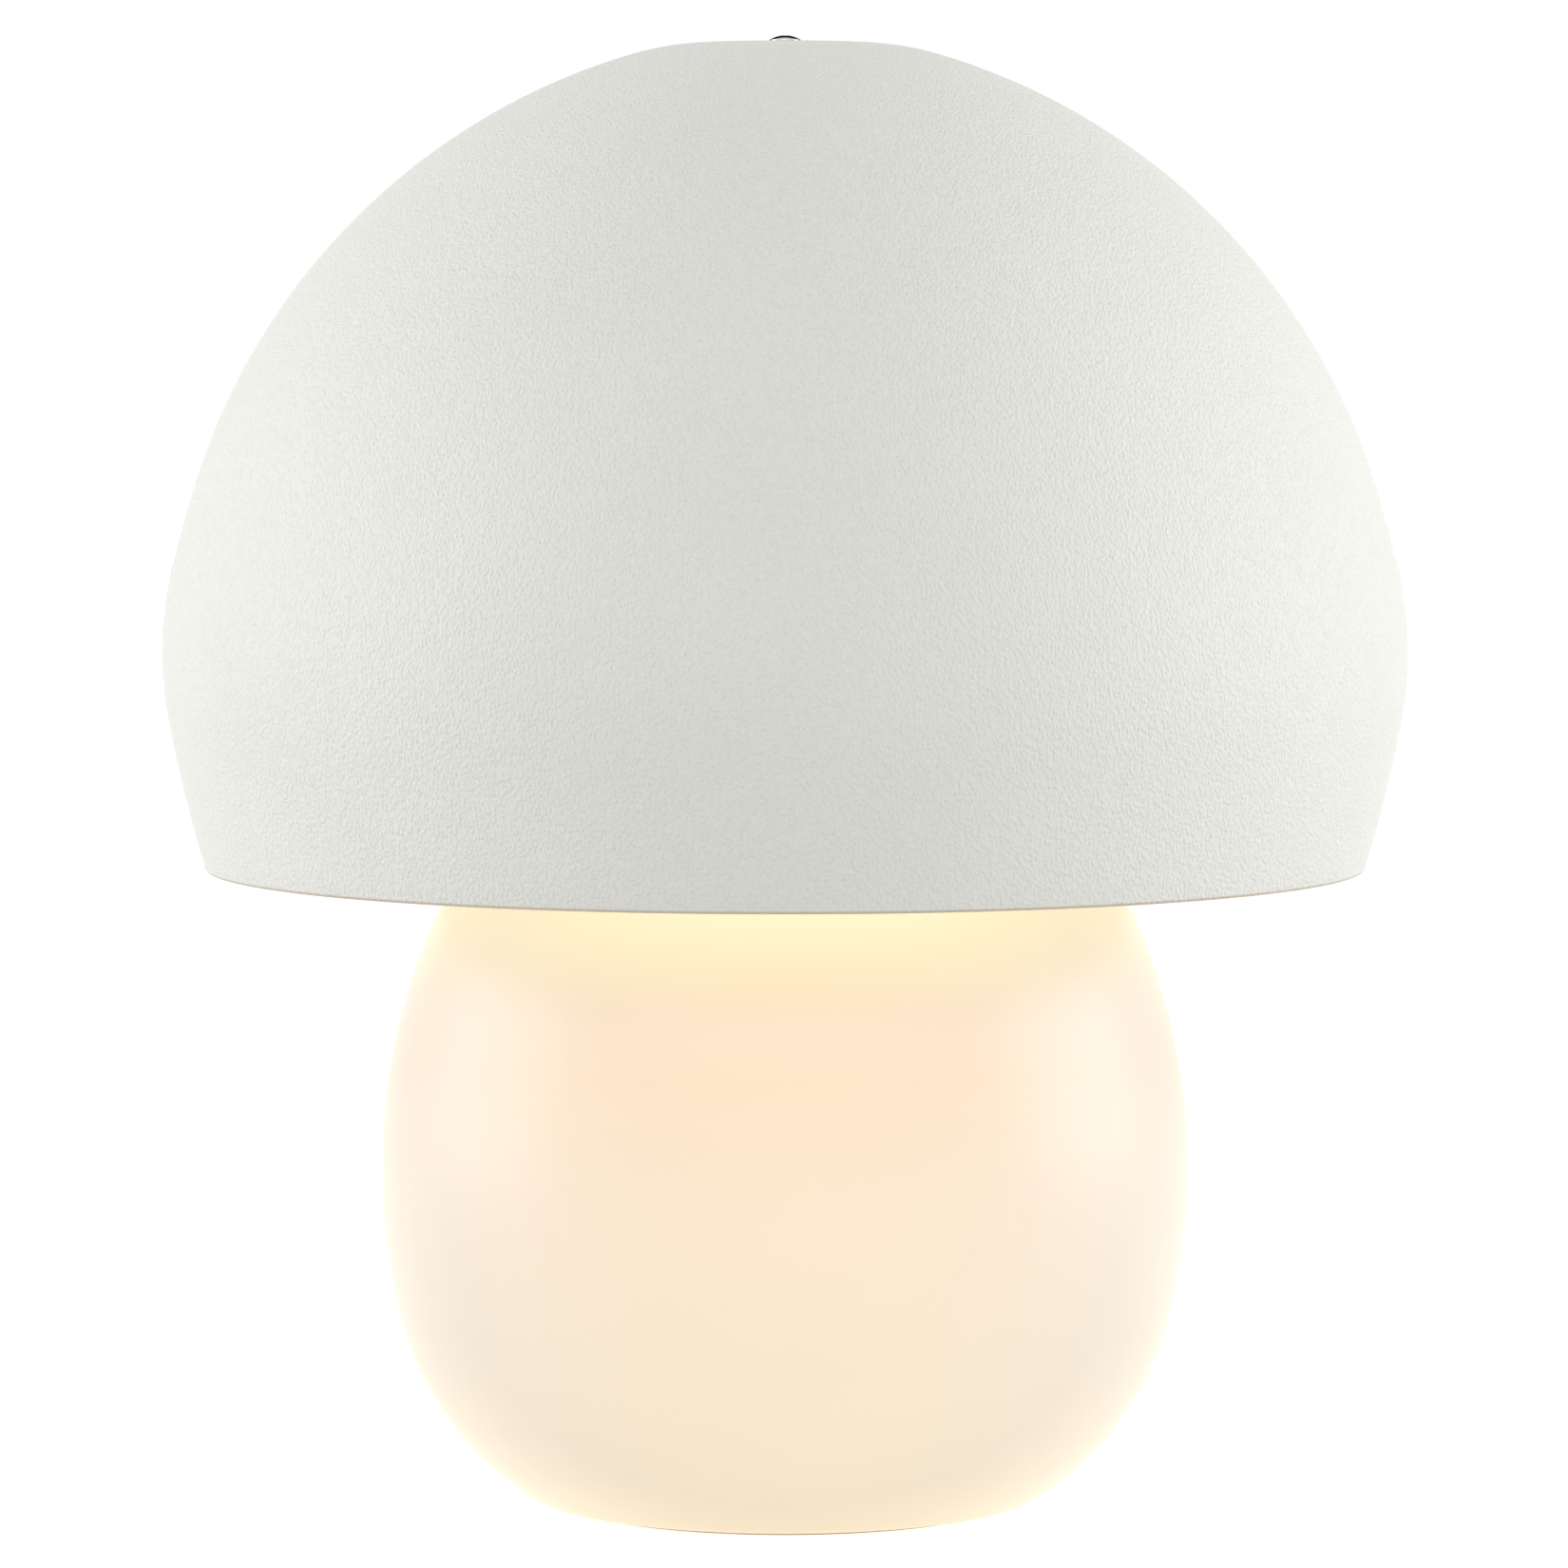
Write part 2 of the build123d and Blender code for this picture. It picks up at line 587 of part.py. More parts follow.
def yoke_screws():
    """Two slotted M4 screws, down through the yoke's feet and the saddle."""
    head_z = holder_cap_z + BAR_THICKNESS
    head_top_z = head_z + M4_HEAD_HEIGHT
    tip_z = saddle_z - M4_NUT_HEIGHT - M4_THREAD_END
    screw = disc(M4_HEAD_RADIUS, head_z, head_top_z) + disc(M4_RADIUS, tip_z, head_z)
    slot = Pos(0, 0, head_top_z) * Box(2 * M4_HEAD_RADIUS, M4_DRIVE_WIDTH, 2 * M4_DRIVE_DEPTH)
    screw -= slot
    return [Pos(side * yoke_screw_place, 0, 0) * screw for side in (-1, 1)]


def yoke_nuts():
    """Two M4 nuts under the saddle."""
    one = nut(M4_NUT_FLATS, M4_RADIUS + THREAD_CLEARANCE, saddle_z - M4_NUT_HEIGHT, saddle_z)
    return [Pos(side * yoke_screw_place, 0, 0) * one for side in (-1, 1)]


def yoke_bush():
    """The threaded bush riveted into the top of the yoke, which takes the dome screw."""
    return turned(
        (bush_thread_radius, bush_under_z),
        (BUSH_BODY_RADIUS, bush_under_z),
        (BUSH_BODY_RADIUS, bush_flange_under_z),
        (BUSH_FLANGE_RADIUS, bush_flange_under_z),
        (BUSH_FLANGE_RADIUS, yoke_bar_under_z),
        (BUSH_SPIGOT_RADIUS, yoke_bar_under_z),
        (BUSH_SPIGOT_RADIUS, yoke_top_z),
        (bush_thread_radius, yoke_top_z),
    )


def seat_gasket():
    """The thin rubber ring on the yoke, on which the shade sits."""
    return ring(DOME_SCREW_RADIUS + HOLE_CLEARANCE, SEAT_GASKET_RADIUS, yoke_top_z, seat_z)


# ================================================================ lampholder
def holder_cap():
    """The drawn cup at the bottom of the lampholder, threaded on the stem pipe."""
    skirt_z = holder_cap_top_z - HOLDER_CAP_SKIRT
    hub_top = holder_cap_z + HOLDER_HUB_HEIGHT
    inner_skirt = holder_shell_radius + RUNNING_CLEARANCE
    outer_skirt = inner_skirt + HOLDER_CAP_WALL
    return turned(
        (pipe_thread_radius, holder_cap_z),
        (HOLDER_HUB_RADIUS, holder_cap_z),
        (HOLDER_HUB_RADIUS, hub_top - HOLDER_CAP_WALL),
        (outer_skirt, skirt_z),
        (outer_skirt, holder_cap_top_z),
        (inner_skirt, holder_cap_top_z),
        (inner_skirt, skirt_z),
        (HOLDER_HUB_RADIUS - HOLDER_CAP_WALL, hub_top),
        (pipe_thread_radius, hub_top),
    )


def along_switch(start, end, radius):
    """A cylinder on the switch's axis, between two distances from the lamp's axis to the front."""
    return Pos(0, -(start + end) / 2, switch_z) * Rot(90, 0, 0) * Cylinder(radius, end - start)


def switch_side_hole(radius):
    """A hole from the middle of the lampholder to its front, for the spindle."""
    return along_switch(0, holder_shell_radius + KNOB_STANDOFF, radius)


def holder_shell():
    """The outer metal shell of the lampholder."""
    inner = holder_shell_radius - HOLDER_SHELL_WALL
    tube = ring(inner, holder_shell_radius, body_under_z, holder_top_z)
    return tube - switch_side_hole(2 * SPINDLE_RADIUS)


def insulating_liner():
    """The fibre tube between shell and live parts."""
    inner = liner_radius - LINER_WALL
    tube = ring(inner, liner_radius, body_under_z, holder_top_z - LINER_WALL)
    return tube - switch_side_hole(2 * SPINDLE_RADIUS)


def interior_body():
    """The moulded body that carries the contacts, terminals and switch."""
    body = disc(body_radius, body_under_z, contact_under_z)
    strip = Box(2 * BODY_FLAT, 4 * body_radius, 2 * BODY_LENGTH)
    body &= Pos(0, 0, contact_under_z) * strip
    cavity_end = ROTOR_LENGTH / 2 + HOLE_CLEARANCE
    body -= along_switch(-cavity_end, cavity_end, ROTOR_RADIUS + HOLE_CLEARANCE)
    body -= switch_side_hole(SPINDLE_RADIUS + RUNNING_CLEARANCE)
    depth = TERMINAL_DEPTH + THREAD_CLEARANCE
    hole = Rot(0, 90, 0) * Cylinder(TERMINAL_RADIUS + THREAD_CLEARANCE, depth)
    for side in (-1, 1):
        body -= Pos(side * (BODY_FLAT - depth / 2), 0, terminal_z) * hole
    return body


def terminal_screws():
    """Two brass screws on the flats of the interior body, one for each wire."""
    screws = []
    for side in (-1, 1):
        shank = Rot(0, 90, 0) * Cylinder(TERMINAL_RADIUS, TERMINAL_DEPTH)
        head = Rot(0, 90, 0) * Cylinder(TERMINAL_HEAD_RADIUS, TERMINAL_HEAD_HEIGHT)
        shank_at = Pos(side * (BODY_FLAT - TERMINAL_DEPTH / 2), 0, terminal_z)
        head_at = Pos(side * (BODY_FLAT + TERMINAL_HEAD_HEIGHT / 2), 0, terminal_z)
        screws.append(shank_at * shank + head_at * head)
    return screws


def screw_shell():
    """The brass cup that the bulb screws into."""
    outer = screw_shell_radius + SCREW_SHELL_WALL
    shell_top_z = contact_under_z + SCREW_SHELL_LENGTH - 2 * SCREW_SHELL_WALL
    floor_hole = CONTACT_RADIUS + 2 * SCREW_SHELL_WALL
    return turned(
        (floor_hole, contact_under_z),
        (outer, contact_under_z),
        (outer, shell_top_z),
        (screw_shell_radius, shell_top_z),
        (screw_shell_radius, contact_under_z + SCREW_SHELL_WALL),
        (floor_hole, contact_under_z + SCREW_SHELL_WALL),
    )


def centre_contact():
    return disc(CONTACT_RADIUS, contact_under_z, contact_z)


# ================================================================ turn switch
def switch_rotor():
    """The insulated rotor inside the lampholder that makes and breaks the contact."""
    rotor = along_switch(-ROTOR_LENGTH / 2, ROTOR_LENGTH / 2, ROTOR_RADIUS)
    flat = Box(2 * ROTOR_RADIUS, ROTOR_LENGTH, ROTOR_RADIUS / 2)
    return rotor - Pos(0, 0, switch_z + ROTOR_RADIUS) * flat


def switch_spindle():
    """The shaft from the rotor out to the knob."""
    return along_switch(ROTOR_LENGTH / 2, knob_start + KNOB_LENGTH / 2, SPINDLE_RADIUS)


def switch_knob():
    """The fluted knob on the switch's spindle."""
    knob_end = knob_start + KNOB_LENGTH
    bevel = KNOB_BEVEL
    upright = turned(
        (0, knob_start),
        (KNOB_RADIUS - bevel, knob_start),
        (KNOB_RADIUS, knob_start + bevel),
        (KNOB_RADIUS, knob_end - bevel),
        (KNOB_RADIUS - bevel, knob_end),
        (0, knob_end),
    )
    knob = Pos(0, 0, switch_z) * Rot(90, 0, 0) * upright
    for flute in range(KNOB_FLUTES):
        angle = radians(360 * flute / KNOB_FLUTES)
        place = Pos(KNOB_RADIUS * cos(angle), 0, KNOB_RADIUS * sin(angle))
        knob -= place * along_switch(knob_start, knob_end, KNOB_FLUTE_RADIUS)
    return knob - along_switch(knob_start, knob_start + KNOB_LENGTH / 2, SPINDLE_RADIUS)


# ================================================================ bulb
def globe_arcs(inset):
    """The globe's outline from its top to its neck, moved inwards by inset."""
    return [
        (GLOBE_RADIUS - inset, -GLOBE_TURN),
        (GLOBE_NECK_RADIUS + inset, GLOBE_NECK_TURN),
    ]


def globe_end():
    """The last point of the globe's round outline, as (radius, height)."""
    return tangent_arcs((0, bulb_top_z), (1, 0), globe_arcs(0))[-1] @ 1


def collar_top():
    """The height at which the globe's straight neck ends on the collar."""
    return globe_end().Y - GLOBE_NECK_STRAIGHT


def globe_neck_radius():
    """The globe's outside radius at the collar, on the tangent of its neck."""
    lean = GLOBE_TURN - GLOBE_NECK_TURN - 90
    return globe_end().X - GLOBE_NECK_STRAIGHT * tan(radians(lean))


def bulb_globe():
    """The frosted globe, open at its neck where the collar holds it."""
    outside = tangent_arcs((0, bulb_top_z), (1, 0), globe_arcs(0))
    inside = tangent_arcs((0, bulb_top_z - GLOBE_WALL), (1, 0), globe_arcs(GLOBE_WALL))
    outer_neck = Line(outside[-1] @ 1, (globe_neck_radius(), collar_top()))
    inner_neck = Line(inside[-1] @ 1, (globe_neck_radius() - GLOBE_WALL, collar_top()))
    neck_ring = Line(outer_neck @ 1, inner_neck @ 1)
    axis_line = Line(outside[0] @ 0, inside[0] @ 0)
    return solid_of_turning([*outside, *inside, outer_neck, inner_neck, neck_ring, axis_line])


def bulb_collar():
    """The plastic cup between globe and screw cap."""
    top_radius = globe_neck_radius()
    wall = COLLAR_WALL
    return turned(
        (0, collar_z),
        (collar_base_radius, collar_z),
        (top_radius, collar_top()),
        (top_radius - wall, collar_top()),
        (collar_base_radius - wall, collar_z + wall),
        (0, collar_z + wall),
    )


def bulb_led_board():
    """The round circuit board on the collar's rim, with its ring of light-emitting chips."""
    radius = globe_neck_radius() - GLOBE_WALL - HOLE_CLEARANCE
    board_top_z = collar_top() + LED_BOARD_THICKNESS
    board = disc(radius, collar_top(), board_top_z)
    chip = disc(LED_RADIUS, board_top_z, board_top_z + LED_HEIGHT)
    for chip_number in range(LED_COUNT):
        turn = Rot(0, 0, 360 * chip_number / LED_COUNT)
        board += turn * Pos(radius - LED_MARGIN, 0, 0) * chip
    return board


def bulb_screw_cap():
    """The metal cap that screws into the lampholder."""
    inner = CAP_RADIUS - CAP_WALL
    return turned(
        (CAP_FLOOR_HOLE_RADIUS, cap_z),
        (CAP_RADIUS, cap_z + CAP_RADIUS - inner),
        (CAP_RADIUS, collar_z),
        (inner, collar_z),
        (inner, cap_z + 2 * CAP_WALL),
        (CAP_FLOOR_HOLE_RADIUS, cap_z + CAP_WALL),
    )


def bulb_insulator():
    """The black glass cone between screw cap and tip."""
    return turned(
        (0, cap_insulator_z),
        (TIP_RADIUS, cap_insulator_z),
        (CAP_RADIUS - CAP_WALL, cap_z),
        (CAP_FLOOR_HOLE_RADIUS, cap_z),
        (0, cap_z),
    )


def bulb_tip():
    """The soldered contact at the bulb's lower end."""
    return turned(
        (0, bulb_tip_z),
        (TIP_RADIUS / 2, bulb_tip_z),
        (TIP_RADIUS, cap_insulator_z),
        (0, cap_insulator_z),
    )


NODES = [
    shade_dome,
    shade_seat_plate,
    captive_washer,
    dome_screw,
    glass_base,
    foot_felt,
    lower_gasket,
    base_weight,
    lower_washer,
    lower_nut,
    floor_nipple,
    upper_gasket,
    check_plate,
    entry_hub,
    stem_pipe,
    stem_tube,
    stem_washer,
    cord_grommet,
    saddle_plate,
    yoke,
    yoke_screws,
    yoke_nuts,
    yoke_bush,
    seat_gasket,
    holder_cap,
    holder_shell,
    insulating_liner,
    interior_body,
    terminal_screws,
    screw_shell,
    centre_contact,
    switch_rotor,
    switch_spindle,
    switch_knob,
    bulb_globe,
    bulb_collar,
    bulb_led_board,
    bulb_screw_cap,
    bulb_insulator,
    bulb_tip,
]

os.makedirs("parts", exist_ok=True)
for make_piece in NODES:
    piece = make_piece()
    if isinstance(piece, list):
        piece = Compound(children=piece)
    export_step(piece, f"parts/{make_piece.__name__}.step")
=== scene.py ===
"""A mushroom table lamp in a white studio: spun metal shade, lit opal glass base, lampholder and bulb."""

from math import acos, asin, atan, atan2, ceil, cos, degrees, pi, radians, sin, sqrt, tan, tau

import bmesh
import bpy
from mathutils import Matrix, Vector


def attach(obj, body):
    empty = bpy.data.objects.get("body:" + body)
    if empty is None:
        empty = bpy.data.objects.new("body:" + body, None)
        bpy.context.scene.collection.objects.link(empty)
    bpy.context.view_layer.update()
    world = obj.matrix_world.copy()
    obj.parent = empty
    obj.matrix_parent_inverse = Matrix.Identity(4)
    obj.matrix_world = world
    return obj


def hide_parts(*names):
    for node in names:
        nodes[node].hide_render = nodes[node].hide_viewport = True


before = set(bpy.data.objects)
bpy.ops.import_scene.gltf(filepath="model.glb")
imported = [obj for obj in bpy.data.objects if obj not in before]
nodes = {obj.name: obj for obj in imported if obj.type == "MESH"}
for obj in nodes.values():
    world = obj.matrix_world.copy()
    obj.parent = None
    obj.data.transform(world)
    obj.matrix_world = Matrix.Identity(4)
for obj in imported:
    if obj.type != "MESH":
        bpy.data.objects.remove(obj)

MM = 0.001
scene = bpy.context.scene
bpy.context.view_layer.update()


# ---------------------------------------------------------------- camera
def place_camera():
    """The photograph's place: two metres in front of the lamp and level with its upper half."""
    data = bpy.data.cameras.new("studio_camera")
    data.sensor_width = 36.0
    data.lens = 174.0
    data.clip_end = 60.0
    camera = bpy.data.objects.new("studio_camera", data)
    camera.location = (-0.0003, -2.012, 0.3244)
    camera.rotation_euler = (pi / 2 - 0.06589, 0, 0)
    scene.collection.objects.link(camera)
    scene.camera = camera


place_camera()


# ---------------------------------------------------------------- drawing and turning
def arc_steps(radius, turn):
    """How many straight pieces an arc needs to stay within a hundredth of a millimetre."""
    step = min(0.24, 2 * sqrt(0.024 / max(radius, 0.05)))
    return max(1, ceil(radians(abs(turn)) / step))


def draw(bm, start, moves, heading=0):
    """Draw an outline beside the axis, as (radius, height) in millimetres.

    A tuple is an arc of (radius, turn in degrees, left is positive), a tuple of radius 0 turns
    on the spot, a number runs straight on, and a list is a point to run to.
    """
    vert = bm.verts.new((start[0], 0, start[1]))
    angle = radians(heading)
    for move in moves:
        if isinstance(move, list):
            step = Vector((move[0], 0, move[1])) - vert.co
            angle = atan2(step.z, step.x)
        elif isinstance(move, tuple):
            radius, turn = move
            if radius:
                side = radius if turn > 0 else -radius
                centre = vert.co + Vector((-sin(angle), 0, cos(angle))) * side
                made = bmesh.ops.spin(bm, geom=[vert], cent=centre, axis=(0, -1, 0),
                                      angle=radians(turn), steps=arc_steps(radius, turn))
                vert = made["geom_last"][0]
            angle += radians(turn)
            continue
        else:
            step = Vector((cos(angle), 0, sin(angle))) * move
        made = bmesh.ops.extrude_vert_indiv(bm, verts=[vert])
        vert = made["verts"][0]
        vert.co += step
    return vert


def merge(bm):
    bmesh.ops.remove_doubles(bm, verts=bm.verts, dist=0.001)
    bmesh.ops.recalc_face_normals(bm, faces=bm.faces)


def turn_round(bm, around):
    """Turn what is drawn about the lamp's axis into a closed skin."""
    bmesh.ops.spin(bm, geom=bm.verts[:] + bm.edges[:], cent=(0, 0, 0), axis=(0, 0, 1),
                   angle=tau, steps=around, use_merge=True)
    merge(bm)


def soften(bm, width, segments=2, sharper_than=25):
    """Round off every edge that is sharper than so many degrees."""
    edges = [e for e in bm.edges if e.is_manifold and degrees(e.calc_face_angle()) > sharper_than]
    bmesh.ops.bevel(bm, geom=edges, offset=width, offset_type="OFFSET", segments=segments,
                    profile=0.5, affect="EDGES", clamp_overlap=True, material=-1)


def turned(start, moves, heading=0, around=96, edge=0.0, segments=2):
    """A piece turned on the lamp's axis, with its sharp rings rounded by edge."""
    bm = bmesh.new()
    draw(bm, start, moves, heading)
    turn_round(bm, around)
    if edge:
        soften(bm, edge, segments)
    return bm


def ring(inner, outer, bottom, top, edge=0.15, around=96):
    corners = [[outer, bottom], [outer, top], [inner, top], [inner, bottom]]
    return turned((inner, bottom), corners, edge=edge, around=around)


def rod(radius, bottom, top, around=48):
    """A closed plain rod on the lamp's axis."""
    return turned((0, bottom), [[radius, bottom], [radius, top], [0, top]], around=around)


def join(bm, other):
    """Put another mesh into this one."""
    holder = bpy.data.meshes.new("holder")
    other.to_mesh(holder)
    other.free()
    bm.from_mesh(holder)
    bpy.data.meshes.remove(holder)
    return bm


def move(bm, x=0, y=0, z=0):
    bmesh.ops.translate(bm, vec=(x, y, z), verts=bm.verts)
    return bm


def lay_forward(bm, height):
    """Lay a piece that was made upright along the switch's axis, towards the front."""
    bmesh.ops.rotate(bm, cent=(0, 0, 0), matrix=Matrix.Rotation(pi / 2, 3, "X"), verts=bm.verts)
    return move(bm, z=height)


def ends_at(bm, height):
    """The open edges of a skin at one height."""
    return [e for e in bm.edges if e.is_boundary and all(abs(v.co.z - height) < 0.01 for v in e.verts)]


def threaded(root, crest, pitch, bottom, top, around=32, bore=0.0, point=0.0):
    """A rolled thread with level ends: closed by a bevelled point, or round a bore."""
    bm = bmesh.new()
    depth = crest - root
    swing = degrees(2 * atan(2 * depth / pitch))
    bend = pitch / 4 / sin(radians(swing))
    draw(bm, (root, bottom - pitch), [(bend, -swing), (bend, swing), (bend, swing), (bend, -swing)], 90)
    turns = ceil((top - bottom) / pitch) + 2
    bmesh.ops.spin(bm, geom=bm.verts[:] + bm.edges[:], cent=(0, 0, 0), axis=(0, 0, 1), angle=tau * turns,
                   steps=around * turns, dvec=(0, 0, pitch / around))
    merge(bm)
    for height, normal in ((bottom, -1), (top, 1)):
        bmesh.ops.bisect_plane(bm, geom=bm.verts[:] + bm.edges[:] + bm.faces[:], dist=0.0001,
                               plane_co=(0, 0, height), plane_no=(0, 0, normal), clear_outer=True)
    if bore:
        join(bm, bore_skin(bore, bottom, top, around))
        for height in (bottom, top):
            bmesh.ops.bridge_loops(bm, edges=ends_at(bm, height))
    else:
        tip = bmesh.ops.extrude_edge_only(bm, edges=ends_at(bm, bottom))["geom"]
        tip = [v for v in tip if isinstance(v, bmesh.types.BMVert)]
        bmesh.ops.scale(bm, vec=(0.8, 0.8, 1), verts=tip)
        bmesh.ops.translate(bm, vec=(0, 0, -point), verts=tip)
        bmesh.ops.holes_fill(bm, edges=[e for e in bm.edges if e.is_boundary])
    merge(bm)
    return bm


def bore_skin(radius, bottom, top, around):
    """The plain inside of a pipe, open at both ends."""
    bm = bmesh.new()
    draw(bm, (radius, bottom), [[radius, top]])
    turn_round(bm, around)
    return bm


# ---------------------------------------------------------------- from mesh to piece
def shown(name, bm, body, finish, node, crisp=True):
    """Put a finished mesh into the scene as a piece that rides on its body and stands for a CAD node."""
    bmesh.ops.scale(bm, vec=(MM, MM, MM), verts=bm.verts)
    for face in bm.faces:
        face.smooth = True
    mesh = bpy.data.meshes.new(name)
    bm.to_mesh(mesh)
    bm.free()
    mesh.set_sharp_from_angle(angle=radians(35))
    mesh.materials.append(finish)
    piece = bpy.data.objects.new(name, mesh)
    scene.collection.objects.link(piece)
    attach(piece, body)
    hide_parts(node)
    if crisp:
        even = piece.modifiers.new("even_faces", "WEIGHTED_NORMAL")
        even.keep_sharp = True
    return piece


def cut(bm, cutter):
    """Take one mesh away from another and give the result back."""
    pair = []
    for mesh_in in (bm, cutter):
        mesh = bpy.data.meshes.new("cutting")
        mesh_in.to_mesh(mesh)
        mesh_in.free()
        pair.append(bpy.data.objects.new("cutting", mesh))
        scene.collection.objects.link(pair[-1])
    step = pair[0].modifiers.new("cut", "BOOLEAN")
    step.operation = "DIFFERENCE"
    step.solver = "EXACT"
    step.object = pair[1]
    done = bpy.data.meshes.new_from_object(pair[0].evaluated_get(bpy.context.evaluated_depsgraph_get()))
    out = bmesh.new()
    out.from_mesh(done)
    for thing in pair:
        data = thing.data
        bpy.data.objects.remove(thing)
        bpy.data.meshes.remove(data)
    bpy.data.meshes.remove(done)
    bmesh.ops.remove_doubles(out, verts=out.verts, dist=0.001)
    return out


# ---------------------------------------------------------------- nodes of the finishes
def add(tree, kind, inputs=None, **settings):
    """Add a shader node; an input is given a value or the socket that feeds it."""
    made = tree.nodes.new(kind)
    for name, value in settings.items():
        setattr(made, name, value)
    for name, value in (inputs or {}).items():
        if isinstance(value, bpy.types.NodeSocket):
            tree.links.new(value, made.inputs[name])
        else:
            made.inputs[name].default_value = value
    return made


def math_of(tree, operation, first, second=0.0):
    return add(tree, "ShaderNodeMath", {0: first, 1: second}, operation=operation).outputs[0]


def tint(tree, factor, low, high, how="MIX"):
    """A colour between two, by a mask; each is a colour or the socket that gives one."""
    low, high = (c if isinstance(c, bpy.types.NodeSocket) else (*c, 1) for c in (low, high))
    made = add(tree, "ShaderNodeMix", {"Factor": factor, "A": low, "B": high}, data_type="RGBA", blend_type=how)
    return made.outputs["Result"]


def place_of(tree):
    """Where a point lies on the lamp, in metres."""
    return add(tree, "ShaderNodeTexCoord").outputs["Object"]


def height_of(tree):
    return add(tree, "ShaderNodeSeparateXYZ", {0: place_of(tree)}).outputs["Z"]


def between(tree, value, from_low, from_high, to_low, to_high):
    made = add(tree, "ShaderNodeMapRange", {"Value": value, "From Min": from_low, "From Max": from_high,
                                            "To Min": to_low, "To Max": to_high})
    return made.outputs["Result"]


def new_group(name, inputs, outputs):
    """An empty effect group with named number inputs and outputs."""
    tree = bpy.data.node_groups.new(name, "ShaderNodeTree")
    for socket, value in inputs.items():
        tree.interface.new_socket(socket, in_out="INPUT", socket_type="NodeSocketFloat").default_value = value
    for socket in outputs:
        tree.interface.new_socket(socket, in_out="OUTPUT", socket_type="NodeSocketFloat")
    return tree, tree.nodes.new("NodeGroupInput"), tree.nodes.new("NodeGroupOutput")


def powder_grain():
    """The pebbled surface of a baked powder coat."""
    tree, given, out = new_group("powder_grain", {"Cells per metre": 1100.0}, ["Height", "Pits"])
    upright = add(tree, "ShaderNodeMapping", {"Vector": place_of(tree),
                                              "Scale": (1, 1, 0.68)})
    place = upright.outputs[0]
    cells = add(tree, "ShaderNodeTexVoronoi", {"Vector": place, "Scale": given.outputs[0], "Randomness": 1.0},
                feature="SMOOTH_F1")
    cells.inputs["Smoothness"].default_value = 0.6
    fine = math_of(tree, "MULTIPLY", given.outputs[0], 2.1)
    swirl = add(tree, "ShaderNodeTexNoise", {"Vector": place, "Scale": fine, "Detail": 2.0, "Roughness": 0.55})
    dome = between(tree, cells.outputs["Distance"], 0.05, 0.65, 1.0, 0.0)
    both = math_of(tree, "MULTIPLY_ADD", swirl.outputs["Fac"], 0.5)
    tree.links.new(dome, both.node.inputs[2])
    tree.links.new(both, out.inputs["Height"])
    tree.links.new(between(tree, both, 0.2, 0.9, 1.0, 0.0), out.inputs["Pits"])
    return tree


def soft_mottle():
    """Slow unevenness of tone over a hand's width, with a finer part."""
    tree, given, out = new_group("soft_mottle", {"Patches per metre": 12.0, "Detail": 3.0}, ["Tone"])
    place = place_of(tree)
    cloud = add(tree, "ShaderNodeTexNoise", {"Vector": place, "Scale": given.outputs[0],
                                             "Detail": given.outputs[1], "Roughness": 0.5})
    tree.links.new(between(tree, cloud.outputs["Fac"], 0.3, 0.7, 0.0, 1.0), out.inputs["Tone"])
    return tree


def turning_marks():
    """Fine rings left by a lathe or a spinning tool round the lamp's axis."""
    tree, given, out = new_group("turning_marks", {"Rings per metre": 6000.0}, ["Height", "Tone"])
    place = add(tree, "ShaderNodeSeparateXYZ", {0: place_of(tree)})
    x, y, z = place.outputs
    radius = math_of(tree, "SQRT", math_of(tree, "ADD", math_of(tree, "MULTIPLY", x, x),
                                           math_of(tree, "MULTIPLY", y, y)))
    side = math_of(tree, "MULTIPLY", math_of(tree, "DIVIDE", x, math_of(tree, "ADD", radius, 0.0001)), 0.0003)
    line = add(tree, "ShaderNodeCombineXYZ", {0: radius, 1: z, 2: side})
    rings = add(tree, "ShaderNodeTexNoise", {"Vector": line.outputs[0], "Scale": given.outputs[0], "Detail": 3.0})
    tree.links.new(rings.outputs["Fac"], out.inputs["Height"])
    tree.links.new(between(tree, rings.outputs["Fac"], 0.3, 0.7, 0.0, 1.0), out.inputs["Tone"])
    return tree


def edge_wear():
    """A mask of the edges that hands and tools rub bare, broken up by a fine noise."""
    tree, given, out = new_group("edge_wear", {"Spread": 0.06, "Breaks per metre": 900.0}, ["Mask"])
    edge = add(tree, "ShaderNodeNewGeometry").outputs["Pointiness"]
    noise = add(tree, "ShaderNodeTexNoise", {"Vector": place_of(tree),
                                             "Scale": given.outputs[1], "Detail": 2.0})
    broken = math_of(tree, "MULTIPLY_ADD", noise.outputs["Fac"], 0.06)
    tree.links.new(edge, broken.node.inputs[2])
    worn = add(tree, "ShaderNodeMapRange", {"Value": broken, "From Min": 0.56, "To Min": 0.0, "To Max": 1.0})
    tree.links.new(math_of(tree, "ADD", given.outputs[0], 0.56), worn.inputs["From Max"])
    tree.links.new(worn.outputs["Result"], out.inputs["Mask"])
    return tree


GRAIN, MOTTLE, MARKS, WEAR = powder_grain(), soft_mottle(), turning_marks(), edge_wear()


def effect(tree, group, *values):
    """Place an effect group in a finish with its own values, by the order of its inputs."""
    made = tree.nodes.new("ShaderNodeGroup")
    made.node_tree = group
    for socket, value in zip(made.inputs, values):
        socket.default_value = value
    return made.outputs


def new_finish(name, **fixed):
    """A finish with its own shader; fixed values go straight to the shader's sockets."""
    material = bpy.data.materials.new(name)
    material.use_nodes = True
    shader = material.node_tree.nodes["Principled BSDF"]
    for socket, value in fixed.items():
        shader.inputs[socket.replace("_", " ")].default_value = value
    return material, material.node_tree, shader


